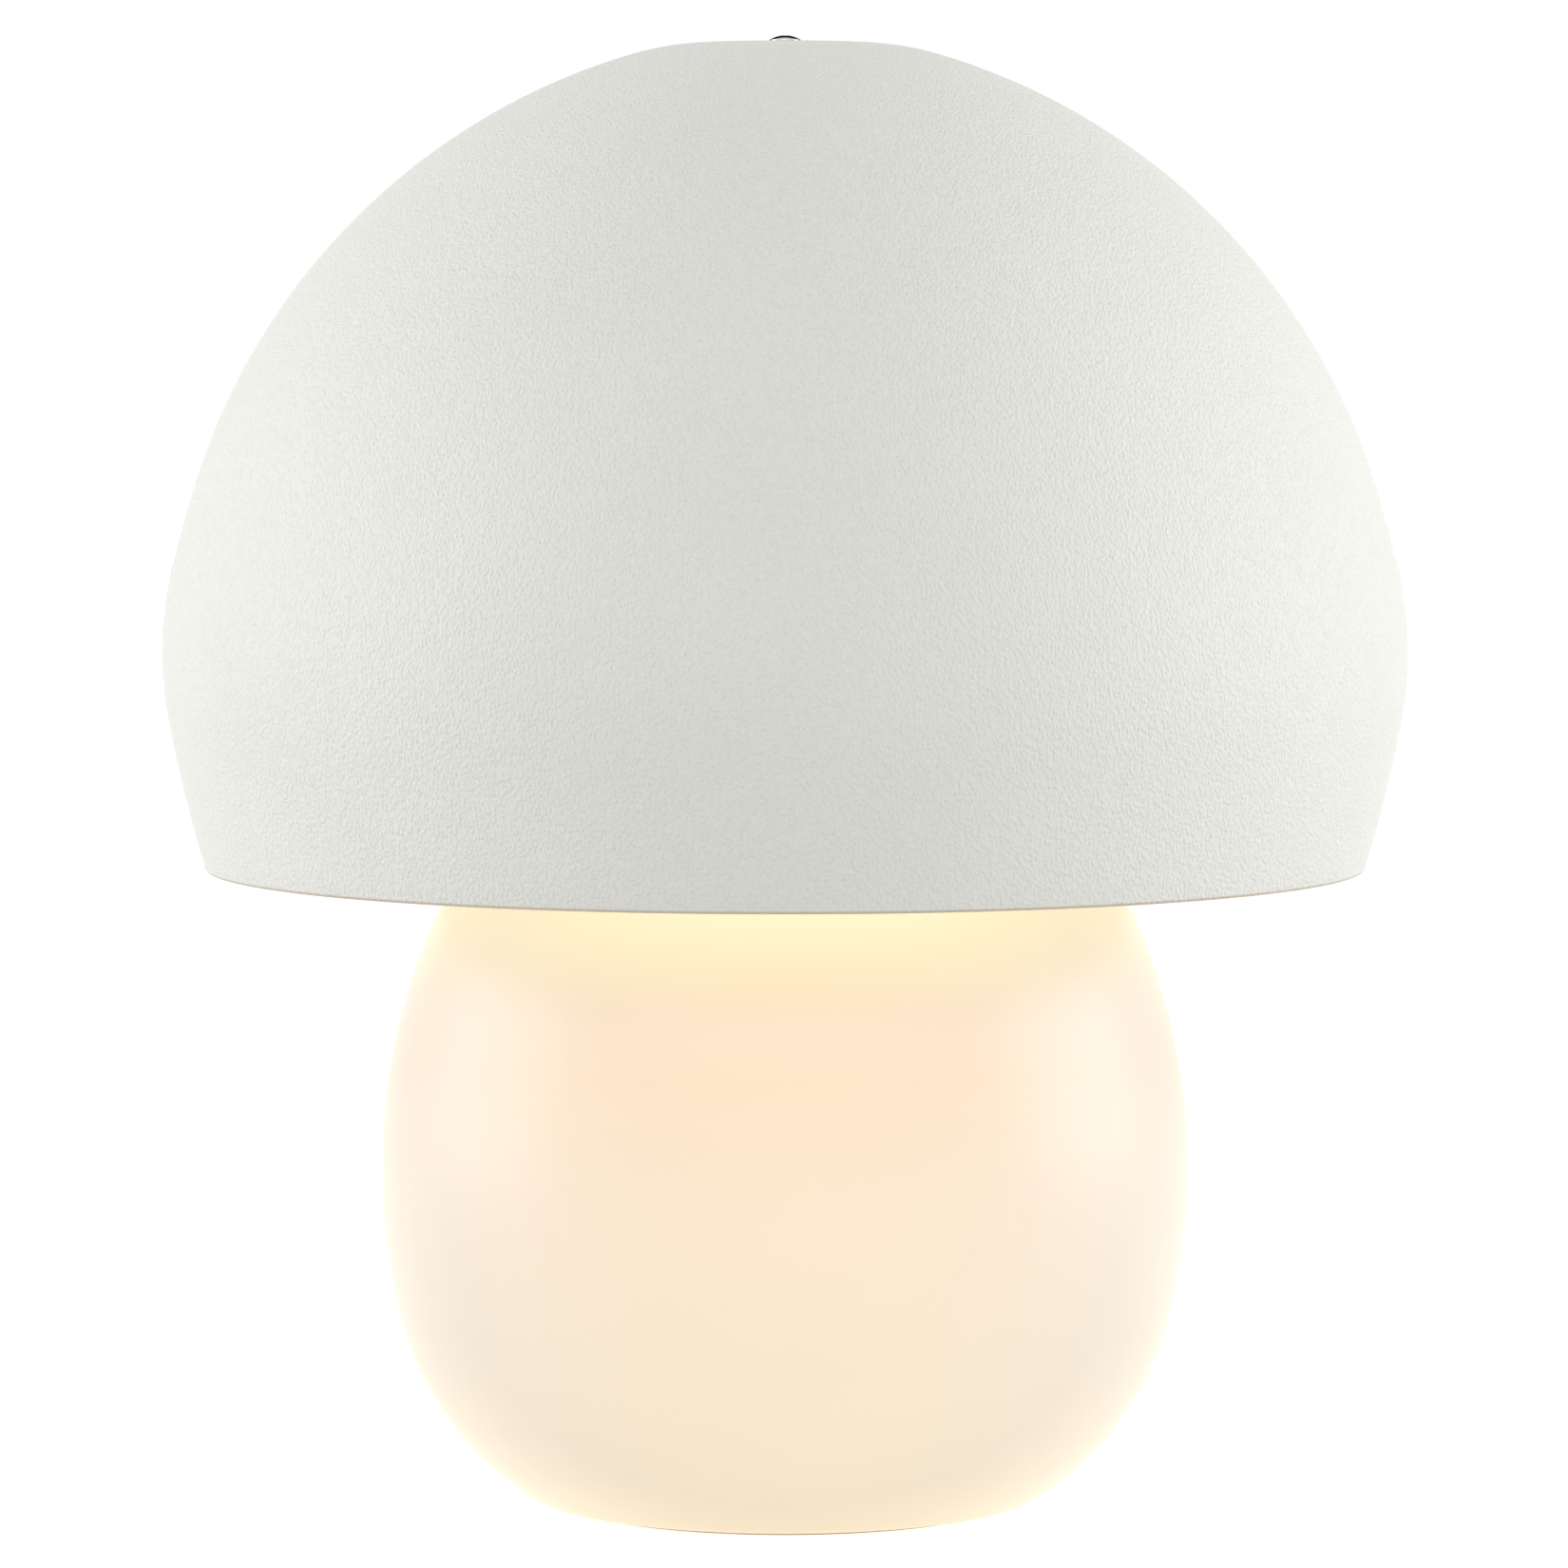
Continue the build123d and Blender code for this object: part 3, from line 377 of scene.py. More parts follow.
def roughen(tree, shader, height, depth, strength=1.0):
    """Feed a height into the shader's normal, as a relief of so many metres."""
    bump = add(tree, "ShaderNodeBump", {"Height": height, "Distance": depth, "Strength": strength})
    tree.links.new(bump.outputs["Normal"], shader.inputs["Normal"])


def coat_finish(name, low, high, cells, depth, rough, rim=None):
    """A powder coat: two close tones, a pebbled relief, duller pits, and, where rim is given, a painted shade line on
    the rim bead's underside up to that height.
    """
    material, tree, shader = new_finish(name)
    grain = effect(tree, GRAIN, cells)
    tone = effect(tree, MOTTLE, 14.0, 4.0)["Tone"]
    colour = tint(tree, tone, low, high)
    if rim:
        # painted shade: a thin warm-grey band on the rim bead's underside, where less light reaches it
        painted_shade_band = between(tree, height_of(tree), rim, rim + 0.0004, 1, 0)
        colour = tint(tree, painted_shade_band, colour, (0.66, 0.58, 0.47))
    tree.links.new(colour, shader.inputs["Base Color"])
    tree.links.new(between(tree, grain["Pits"], 0, 1, rough, rough + 0.12), shader.inputs["Roughness"])
    roughen(tree, shader, grain["Height"], depth)
    return material


def metal_finish(name, low, high, rough, rings=6000.0, relief=0.000004, wear=None, **fixed):
    """A turned or rolled metal: tool rings, uneven sheen and, where asked, brighter rubbed edges."""
    material, tree, shader = new_finish(name, Metallic=1.0, **fixed)
    marks = effect(tree, MARKS, rings)
    cloud = effect(tree, MOTTLE, 90.0, 4.0)["Tone"]
    colour = tint(tree, cloud, low, high)
    if wear:
        mask = effect(tree, WEAR, 0.05, 900.0)["Mask"]
        colour = tint(tree, mask, colour, wear)
    tree.links.new(colour, shader.inputs["Base Color"])
    sheen = math_of(tree, "MULTIPLY", math_of(tree, "ADD", marks["Tone"], cloud), 0.5)
    tree.links.new(between(tree, sheen, 0, 1, rough * 0.75, rough * 1.3), shader.inputs["Roughness"])
    roughen(tree, shader, marks["Height"], relief)
    return material


def paint_dark_outline_reflection(material):
    """Paint a dark reflection into a polished metal's colour towards its outline, as a mirror among dark surroundings
    would show.
    """
    tree = material.node_tree
    shader = tree.nodes["Principled BSDF"]
    facing = add(tree, "ShaderNodeLayerWeight", {"Blend": 0.5}).outputs["Facing"]
    metal = shader.inputs["Base Color"].links[0].from_socket
    painted_dark_reflection = tint(tree, between(tree, facing, 0.5, 0.72, 0.0, 1.0), metal, (0.02, 0.018, 0.018))
    tree.links.new(painted_dark_reflection, shader.inputs["Base Color"])


def moulded_finish(name, low, high, rough, cells=3000.0, depth=0.00001, **fixed):
    """A moulded plastic or rubber: faint cloudiness and a fine matt relief."""
    material, tree, shader = new_finish(name, **fixed)
    cloud = effect(tree, MOTTLE, 60.0, 5.0)["Tone"]
    grain = effect(tree, GRAIN, cells)
    tree.links.new(tint(tree, cloud, low, high), shader.inputs["Base Color"])
    tree.links.new(between(tree, cloud, 0, 1, rough - 0.05, rough + 0.07), shader.inputs["Roughness"])
    roughen(tree, shader, grain["Height"], depth)
    return material


# painted glow: emission colours by height that stand in for the bulb's light coming through the opal glass
PAINTED_GLOW_BY_HEIGHT = [  # from the foot to the mouth of the glass, in fifths of a metre
    (0.0, (0.75, 0.585, 0.355)), (0.25, (0.62, 0.475, 0.285)), (0.46, (0.62, 0.455, 0.27)),
    (0.61, (0.66, 0.45, 0.25)), (0.69, (0.72, 0.52, 0.33)), (0.76, (0.82, 0.665, 0.39)),
    (0.82, (0.98, 0.80, 0.475)), (0.87, (0.80, 0.64, 0.38)), (1.0, (0.58, 0.43, 0.25)),
]


def painted_glow_glass_finish():
    """Opal glass with its inner light painted on as emission: brightest just under the shade's rim, dimmer and warmer
    at its belly; towards its outline the glow is dimmed and a paler painted reflection is added.
    """
    material, tree, shader = new_finish("opal_glass_painted_glow", Emission_Strength=1.0, IOR=1.5)
    place, height = place_of(tree), height_of(tree)
    glow = add(tree, "ShaderNodeValToRGB", {"Fac": between(tree, height, 0.0, 0.2, 0.0, 1.0)})
    stops = glow.color_ramp
    for at, colour in PAINTED_GLOW_BY_HEIGHT:
        stops.elements.new(at).color = (*colour, 1)
    stops.elements.remove(stops.elements[0])
    stops.elements.remove(stops.elements[-1])
    cloud = effect(tree, MOTTLE, 9.0, 2.0)["Tone"]
    uneven = tint(tree, 1.0, glow.outputs["Color"], tint(tree, cloud, (0.975, 0.97, 0.96), (1, 1, 1)), "MULTIPLY")
    # painted light: towards the outline the glow is dimmed and the colour made paler, a painted reflection of the
    # white studio
    facing = add(tree, "ShaderNodeLayerWeight", {"Blend": 0.5}).outputs["Facing"]
    painted_outline_mask = between(tree, facing, 0.0, 0.45, 0.0, 1.0)
    painted_outline_dimming = math_of(tree, "MULTIPLY", painted_outline_mask, between(tree, height, 0.13, 0.156, 1.0, 0.72))
    painted_glow_colour = tint(tree, 1.0, uneven, tint(tree, painted_outline_dimming, (1, 1, 1), (0.62, 0.62, 0.62)), "MULTIPLY")
    tree.links.new(painted_glow_colour, shader.inputs["Emission Color"])
    milk = tint(tree, cloud, (0.41, 0.41, 0.405), (0.43, 0.43, 0.425))
    # painted reflection: the milk colour turns paler towards the outline
    tree.links.new(tint(tree, painted_outline_mask, milk, (0.52, 0.515, 0.51)), shader.inputs["Base Color"])
    satin = add(tree, "ShaderNodeTexNoise", {"Vector": place, "Scale": 1500.0, "Detail": 2.0})
    tree.links.new(between(tree, satin.outputs["Fac"], 0.3, 0.7, 0.30, 0.42), shader.inputs["Roughness"])
    wave = add(tree, "ShaderNodeTexNoise", {"Vector": place, "Scale": 22.0, "Detail": 1.0})
    relief = math_of(tree, "MULTIPLY_ADD", satin.outputs["Fac"], 0.004)
    tree.links.new(wave.outputs["Fac"], relief.node.inputs[2])
    roughen(tree, shader, relief, 0.0006)
    return material


def bulb_glass_finish():
    """The frosted globe, brightest at its middle and dimmer at its neck and outline."""
    material, tree, shader = new_finish("bulb_glass_lit", Emission_Strength=1.0, IOR=1.5)
    place = place_of(tree)
    level = between(tree, height_of(tree), 0.255, 0.29, 0.0, 1.0)
    facing = add(tree, "ShaderNodeLayerWeight", {"Blend": 0.5}).outputs["Facing"]
    glow = tint(tree, level, (0.5, 0.34, 0.17), (0.9, 0.74, 0.5))
    outline = tint(tree, between(tree, facing, 0.1, 0.8, 0.0, 1.0), (1, 1, 1), (0.5, 0.42, 0.32))
    tree.links.new(tint(tree, 1.0, glow, outline, "MULTIPLY"), shader.inputs["Emission Color"])
    frost = add(tree, "ShaderNodeTexNoise", {"Vector": place, "Scale": 2500.0, "Detail": 2.0})
    tree.links.new(tint(tree, frost.outputs["Fac"], (0.40, 0.39, 0.37), (0.45, 0.44, 0.42)),
                   shader.inputs["Base Color"])
    tree.links.new(between(tree, frost.outputs["Fac"], 0.3, 0.7, 0.38, 0.5), shader.inputs["Roughness"])
    roughen(tree, shader, frost.outputs["Fac"], 0.00001)
    return material


def felt_finish():
    """Pressed wool felt: short fibres that lie every way, and a soft sheen."""
    material, tree, shader = new_finish("pale_felt", Sheen_Weight=0.5, Sheen_Roughness=0.4)
    place = place_of(tree)
    drift = add(tree, "ShaderNodeTexNoise", {"Vector": place, "Scale": 350.0, "Detail": 2.0})
    bent = add(tree, "ShaderNodeVectorMath", {0: drift.outputs["Color"]}, operation="SCALE")
    bent.inputs["Scale"].default_value = 0.004
    along = add(tree, "ShaderNodeVectorMath", {0: place, 1: bent.outputs[0]}, operation="ADD")
    fibres = add(tree, "ShaderNodeTexVoronoi", {"Vector": along.outputs[0], "Scale": 1400.0},
                 feature="DISTANCE_TO_EDGE")
    thread = between(tree, fibres.outputs["Distance"], 0.0, 0.18, 1.0, 0.0)
    lint = effect(tree, MOTTLE, 300.0, 4.0)["Tone"]
    mix = math_of(tree, "MULTIPLY", math_of(tree, "ADD", thread, lint), 0.5)
    tree.links.new(tint(tree, mix, (0.60, 0.57, 0.52), (0.80, 0.78, 0.73)), shader.inputs["Base Color"])
    tree.links.new(between(tree, mix, 0, 1, 0.85, 1.0), shader.inputs["Roughness"])
    roughen(tree, shader, mix, 0.0001)
    return material


def iron_finish():
    """Cast iron under a thin black lacquer, rough from the sand and bare on its edges."""
    material, tree, shader = new_finish("lacquered_iron")
    lumps = effect(tree, GRAIN, 650.0)
    mask = effect(tree, WEAR, 0.05, 500.0)["Mask"]
    tone = effect(tree, MOTTLE, 60.0, 5.0)["Tone"]
    lacquer = tint(tree, tone, (0.020, 0.020, 0.021), (0.045, 0.044, 0.043))
    tree.links.new(tint(tree, mask, lacquer, (0.16, 0.145, 0.13)), shader.inputs["Base Color"])
    tree.links.new(between(tree, lumps["Pits"], 0, 1, 0.42, 0.7), shader.inputs["Roughness"])
    roughen(tree, shader, lumps["Height"], 0.0001)
    return material


def fibre_finish():
    """Pressed fibre board of the insulating tube, with flecks in two browns."""
    material, tree, shader = new_finish("pressed_fibre", Roughness=0.85)
    place = place_of(tree)
    long_way = add(tree, "ShaderNodeMapping", {"Vector": place, "Scale": (1, 1, 6)})
    flecks = add(tree, "ShaderNodeTexNoise", {"Vector": long_way.outputs[0], "Scale": 900.0, "Detail": 4.0})
    tree.links.new(tint(tree, flecks.outputs["Fac"], (0.13, 0.10, 0.08), (0.30, 0.24, 0.18)),
                   shader.inputs["Base Color"])
    roughen(tree, shader, flecks.outputs["Fac"], 0.00003)
    return material


# rim gives the top of the painted shade band under the shade's rim bead
SHADE_COAT = coat_finish("shade_coat_matt", (0.815, 0.82, 0.765), (0.835, 0.84, 0.79), 1250.0, 0.00025, 0.5,
                         rim=0.1701)
WHITE_PAINT = coat_finish("stem_paint_satin", (0.80, 0.80, 0.78), (0.83, 0.83, 0.81), 2600.0, 0.00001, 0.32)
OPAL = painted_glow_glass_finish()
FROSTED = bulb_glass_finish()
# painted reflection: the near-black specular tint and the painted dark outline make the screw head's rim read dark
POLISHED = metal_finish("dome_screw_steel", (0.72, 0.69, 0.685), (0.77, 0.74, 0.735), 0.1, 9000.0, 0.000001,
                        Specular_Tint=(0.02, 0.02, 0.02, 1))
paint_dark_outline_reflection(POLISHED)
ZINC = metal_finish("zinc_plated_steel", (0.56, 0.575, 0.59), (0.70, 0.70, 0.68), 0.34, 3500.0,
                    wear=(0.78, 0.78, 0.78))
BRASS = metal_finish("satin_brass", (0.71, 0.53, 0.25), (0.80, 0.62, 0.32), 0.26, wear=(0.88, 0.74, 0.45))
NICKEL = metal_finish("nickelled_cap", (0.62, 0.60, 0.56), (0.74, 0.72, 0.67), 0.24)
SOLDER = metal_finish("tinned_solder", (0.50, 0.50, 0.51), (0.66, 0.66, 0.66), 0.38, 1500.0, 0.00002)
IRON = iron_finish()
FELT = felt_finish()
RUBBER = moulded_finish("black_rubber_matt", (0.018, 0.018, 0.018), (0.035, 0.034, 0.033), 0.68)
CLEAR = moulded_finish("milky_rubber", (0.72, 0.71, 0.67), (0.80, 0.79, 0.75), 0.38)
PHENOLIC = moulded_finish("black_phenolic", (0.018, 0.016, 0.014), (0.034, 0.029, 0.025), 0.3, Coat_Weight=0.2)
COLLAR_PLASTIC = moulded_finish("bulb_collar_white", (0.76, 0.76, 0.74), (0.81, 0.81, 0.79), 0.4)
BOARD = moulded_finish("led_board_white", (0.80, 0.80, 0.78), (0.87, 0.87, 0.85), 0.3)
FIBRE = fibre_finish()

# ---------------------------------------------------------------- shade
SHEET = 0.8
SHADE_TOP = 388.0
TOP_FLAT = 19.5
SHADE_HALF_WIDTH = 165.0
SHADE_SCREW_HOLE = 1.98
SHADE_ARCS = [(74.7, 16.4), (0.0, 55.6), (350.0, 3.7), (99.2, 25.1), (392.0, 5.7)]


def crown_radius():
    """The crown's radius, from the other arcs and the shade's half width."""
    reach, angle = TOP_FLAT, 0.0
    crown_turn = SHADE_ARCS[1][1]
    for radius, turn in SHADE_ARCS[:4]:
        end = min(angle + turn, 90.0)
        reach += radius * (sin(radians(end)) - sin(radians(angle)))
        angle += turn
    start = SHADE_ARCS[0][1]
    return (SHADE_HALF_WIDTH - reach) / (sin(radians(start + crown_turn)) - sin(radians(start)))


def shade_skin():
    """The spun sheet in one closed section: outside, bead at the rim, inside."""
    arcs = [(radius or crown_radius(), turn) for radius, turn in SHADE_ARCS]
    bead = 1.2
    round_bead = 270 + degrees(asin((bead - SHEET) / bead))
    used = degrees(sqrt(bead**2 - (bead - SHEET) ** 2) / (arcs[-1][0] - SHEET))
    back = [(radius - SHEET, turn) for radius, turn in reversed(arcs)]
    back[0] = (back[0][0], back[0][1] - used)
    hole = SHADE_SCREW_HOLE
    outline = [[TOP_FLAT, SHADE_TOP], *[(radius, -turn) for radius, turn in arcs], (bead, -round_bead),
               (0, round_bead + 180 + used), *back, [hole, SHADE_TOP - SHEET], [hole, SHADE_TOP]]
    return turned((hole, SHADE_TOP), outline, around=240)


shown("shade", shade_skin(), "shade", SHADE_COAT, "shade_dome", crisp=False)
shown("seat_plate", ring(2.22, 17.0, 385.7, 387.2, 0.3), "shade", ZINC, "shade_seat_plate")


# ---------------------------------------------------------------- dome screw and its washer
SCREW_PITCH = 0.7
SCREW_HOLE = 1.97


def dome_screw():
    rise, rim = 1.2, 4.1
    dome = (rim**2 + rise**2) / (2 * rise)
    turn = degrees(acos(1 - rise / dome))
    head = turned((0, 390.0), [(dome, -turn), [rim, 388.5], [1.7, 388.5], [1.7, 388.0], [0, 388.0]],
                  edge=0.1, around=72)
    socket = bmesh.new()
    bmesh.ops.create_cone(socket, cap_ends=True, segments=6, radius1=1.35, radius2=1.44, depth=2.0)
    head = cut(head, move(socket, z=390.1))
    join(head, threaded(1.72, 1.92, SCREW_PITCH, 376.9, 388.4, around=24, point=0.4))
    return head


shown("dome_screw_head", dome_screw(), "dome_screw", POLISHED, "dome_screw")
shown("screw_washer_ring", ring(SCREW_HOLE, 4.0, SHADE_TOP, 388.5, 0.12), "screw_washer", POLISHED,
      "captive_washer")

# ---------------------------------------------------------------- glass base
WALL = 3.5
FOOT_RADIUS, BELLY_RADIUS = 63.0, 107.5
FLOOR_UNDER, FLOOR_TOP = 17.0, 20.5
PIPE_HOLE = 5.3
FOOT_ARC, BELLY_ARC, UPPER_ARC = (11.0, 33.0), (166.0, 13.0), (165.0, degrees(acos(1 - 40.5 / 165.0)))
LOWER_TURN = 44.0
INLET_AXIS = Vector((0, sin(radians(60)), -cos(radians(60))))
INLET_SURFACE = Vector((0, 94.609, 29.770))


def at_inlet(bm):
    """Carry a piece that was made upright to the cord's inlet in the back of the glass."""
    turn = Vector((0, 0, 1)).rotation_difference(INLET_AXIS).to_matrix()
    bmesh.ops.rotate(bm, cent=(0, 0, 0), matrix=turn, verts=bm.verts)
    return move(bm, *INLET_SURFACE)


def lower_arc():
    """The arc between foot and belly that brings the glass to its full width."""
    reach = FOOT_RADIUS + 11.0 * sin(radians(33)) + 166.0 * (1 - sin(radians(77)))
    return (BELLY_RADIUS - reach) / (sin(radians(77)) - sin(radians(33))), LOWER_TURN


def kick(fillet_in, fillet_out, direction):
    """The runs and bends of the floor's sloping wall between its two fillets."""
    slope = degrees(acos(10 / sqrt(10**2 + 16**2)))
    length = sqrt(10**2 + 16**2) - (fillet_in + fillet_out) * tan(radians(slope / 2))
    return [(fillet_in, direction * -slope), length, (fillet_out, direction * slope)], slope


def glass_skin():
    """The blown glass in one closed section, then the cord's hole drilled in its back."""
    arcs = [FOOT_ARC, lower_arc(), BELLY_ARC, UPPER_ARC]
    inner = [(radius - WALL, -turn) for radius, turn in reversed(arcs)]
    over, slope = kick(2.5, 7.5, 1)
    under, _ = kick(4.0, 6.0, 1)
    shift = WALL * tan(radians(slope / 2))
    first_run = FOOT_RADIUS - (50.0 + shift + 2.5 * tan(radians(slope / 2)))
    flat_end = 40.0 + shift - 7.5 * tan(radians(slope / 2))
    outline = [*arcs, (WALL / 2, 180), *inner, first_run, *over, [PIPE_HOLE, FLOOR_TOP], [PIPE_HOLE, FLOOR_UNDER],
               [flat_end, FLOOR_UNDER], *under, first_run]
    bm = turned((FOOT_RADIUS, 1.0), outline, around=208)
    return cut(bm, at_inlet(rod(5.5, -8, 8)))


def grommet():
    """A rubber grommet with rounded flanges, snapped into the cord's hole."""
    bm = turned((3.6, -5.95), [[6.9, -5.95], [7.5, -5.3], [7.5, -3.95], [5.4, -3.95], [5.4, 0], [7.5, 0], [7.5, 1.2],
                               [6.7, 2.0], [3.6, 2.0], [3.6, -5.95]], edge=0.35, segments=3, around=64)
    return at_inlet(bm)


shown("opal_base", glass_skin(), "base", OPAL, "glass_base", crisp=False)
shown("inlet_grommet", grommet(), "base", CLEAR, "cord_grommet")
shown("felt_ring", ring(53.0, 60.0, 0.0, 1.0, 0.3, 160), "base", FELT, "foot_felt")


# ---------------------------------------------------------------- stem, hub and pipes
def hub():
    """The turned hub with a groove round each end and the wires' hole at its back."""
    groove = [(0.6, 60), (0.6, -120), (0.6, 60)]
    bm = turned((5.05, 24.0), [[10.2, 24.0], [11.0, 24.8], [11.0, 27.2], (0, 0), *groove, [11.0, 41.5], (0, 0),
                               *groove, [11.0, 45.2], [10.2, 46.0], [5.05, 46.0], [5.05, 24.0]], edge=0.1)
    drill = rod(4.0, -9, 9)
    bmesh.ops.rotate(drill, cent=(0, 0, 0), matrix=Matrix.Rotation(pi / 2, 3, "X"), verts=drill.verts)
    return cut(bm, move(drill, y=12.0, z=35.0))


def floor_pipe():
    """The short pipe through the floor, its lower end threaded for the nut."""
    bm = threaded(4.7, 5.0, 1.0, 3.0, 8.0, around=32, bore=3.75)
    return join(bm, ring(3.75, 4.7, 8.0, 32.0, 0.2, 64))


shown("hub_coupling", hub(), "base", ZINC, "entry_hub")
shown("stem_sleeve", ring(6.5, 7.5, 46.0, 168.6, 0.25, 80), "base", WHITE_PAINT, "stem_tube")
shown("floor_pipe", floor_pipe(), "base", ZINC, "floor_nipple")
shown("check_disc", ring(PIPE_HOLE, 24.0, 22.0, 24.0, 0.4), "base", ZINC, "check_plate")
shown("stem_top_washer", ring(PIPE_HOLE, 12.0, 168.6, 169.8, 0.25), "base", ZINC, "stem_washer")
shown("nut_washer", ring(PIPE_HOLE, 12.0, 7.3, 8.5, 0.25), "base", ZINC, "lower_washer")


def weight_disc():
    """The cast weight: a shallow dish in its underside and draught on its rim."""
    corners = [[13.5, 8.5], [15.5, 9.3], [28.5, 9.3], [30.0, 8.5], [33.0, 8.5], [34.0, 9.5], [34.0, 14.5],
               [33.0, 15.5], [PIPE_HOLE, 15.5], [PIPE_HOLE, 8.5]]
    return turned((PIPE_HOLE, 8.5), corners, edge=0.35)


shown("iron_weight", weight_disc(), "base", IRON, "base_weight")


# ---------------------------------------------------------------- yoke and its fastenings
YOKE_TOP, YOKE_FOOT, YOKE_REACH, YOKE_BAR = 384.7, 172.3, 39.5, 2.5
TOP_BEND, FOOT_BEND = 28, 6  # outer radii


def yoke_bar():
    """The flat bar, drawn from the front, pulled to its width, and rounded along its edges."""
    bm = bmesh.new()
    foot_run = YOKE_REACH - FOOT_BEND - 20
    upright = YOKE_TOP - TOP_BEND - YOKE_FOOT - FOOT_BEND
    top_run = 2 * (YOKE_REACH - TOP_BEND)
    outer = [foot_run, (FOOT_BEND, 90), upright, (TOP_BEND, 90), top_run, (TOP_BEND, 90), upright, (FOOT_BEND, 90),
             foot_run]
    inner_foot, inner_top = (FOOT_BEND - YOKE_BAR, -90), (TOP_BEND - YOKE_BAR, -90)
    inner = [(0, 90), YOKE_BAR, (0, 90), foot_run, inner_foot, upright, inner_top, top_run, inner_top, upright,
             inner_foot, foot_run, (0, 90), YOKE_BAR]
    draw(bm, (20, YOKE_FOOT), [*outer, *inner])
    bmesh.ops.remove_doubles(bm, verts=bm.verts, dist=0.01)
    face = bmesh.ops.contextual_create(bm, geom=bm.edges[:])["faces"]
    move(bm, y=-6)
    pulled = bmesh.ops.extrude_face_region(bm, geom=face)["geom"]
    bmesh.ops.translate(bm, vec=(0, 12, 0), verts=[v for v in pulled if isinstance(v, bmesh.types.BMVert)])
    merge(bm)
    soften(bm, 0.45, 2, 60)
    return cut(bm, rod(4.5, 380, 387))


def both_sides(bm, place):
    """Stand a piece at each foot of the yoke."""
    move(bm, x=place)
    bmesh.ops.spin(bm, geom=bm.verts[:] + bm.edges[:] + bm.faces[:], cent=(0, 0, 0), axis=(0, 0, 1), angle=pi,
                   steps=1, use_duplicate=True)
    return bm


def foot_screw():
    """A slotted pan-head screw, down through one foot of the yoke."""
    bm = turned((0, 177.2), [(12.0, -12), [3.5, 176.2], [3.5, 174.8], [1.6, 174.8], [1.6, 174.0], [0, 174.0]],
                edge=0.25, around=48)
    slot = bmesh.new()
    bmesh.ops.create_cube(slot, size=1.0)
    bmesh.ops.scale(slot, vec=(1.0, 9.0, 2.4), verts=slot.verts)
    bmesh.ops.rotate(slot, cent=(0, 0, 0), matrix=Matrix.Rotation(radians(35), 3, "Z"), verts=slot.verts)
    bm = cut(bm, move(slot, z=177.2))
    return join(bm, threaded(1.78, 2.0, SCREW_PITCH, 165.9, 174.7, around=20, point=0.3))


def bush():
    """The riveted bush under the top of the yoke, with its rolled-over spigot."""
    corners = [[5.0, 375.2], [5.0, 380.2], [6.5, 380.2], [6.5, 382.2], [4.2, 382.2], [4.2, YOKE_TOP],
               [SCREW_HOLE, YOKE_TOP], [SCREW_HOLE, 375.2]]
    return turned((SCREW_HOLE, 375.2), corners, edge=0.3)


shown("yoke_bar", yoke_bar(), "base", WHITE_PAINT, "yoke")
shown("foot_screws", both_sides(foot_screw(), 26.75), "base", ZINC, "yoke_screws")
shown("top_bush", bush(), "base", BRASS, "yoke_bush")
shown("seat_ring", ring(2.22, 9.0, YOKE_TOP, 385.7, 0.3), "base", RUBBER, "seat_gasket")


# ---------------------------------------------------------------- lampholder and switch
SWITCH_HEIGHT = 201.9
BULB_THREAD_PITCH = 3.629
KNOB_RADIUS, FLUTE_RADIUS, FLUTES = 6.5, 0.7, 12
KNOB_BODY, KNOB_STANDS_OFF = 12.2, 20.4  # without its crowned ends


def shell_tube():
    """The drawn shell with two beads rolled into it and a turned-in mouth."""
    bead = [(1.2, 31), (1.2, -62), (1.2, 31)]
    bm = turned((16.3, 188.3), [[17.0, 188.3], [17.0, 211.0], (0, 0), *bead, [17.0, 229.0], (0, 0), *bead,
                                [17.0, 234.7], (0.6, 90), [16.3, 235.3], [16.3, 188.3]], around=112)
    return cut(bm, lay_forward(rod(3.2, 10, 25), SWITCH_HEIGHT))


def cap_cup():
    """The drawn cup under the shell, with a rolled lip at its top."""
    corners = [[8.0, 172.3], [8.0, 178.6], [9.2, 180.4], [16.6, 187.1], [17.95, 189.6], [17.95, 195.4], (0.45, 180),
               [17.05, 189.2], [15.9, 187.3], [7.1, 180.3], [5.05, 180.3], [5.05, 172.3]]
    return turned((5.05, 172.3), corners, edge=0.3, around=112)


def socket_shell():
    """The brass screw shell, its wall one rolled thread from floor to mouth."""
    skin = threaded(13.22, 13.58, BULB_THREAD_PITCH, 213.2, 234.4, around=64, bore=13.16)
    floor = turned((4.8, 212.3), [[13.58, 212.3], [13.58, 213.3], [12.9, 213.3], [12.9, 212.7], [4.8, 212.7],
                                  [4.8, 212.3]], edge=0.12)
    return join(skin, floor)


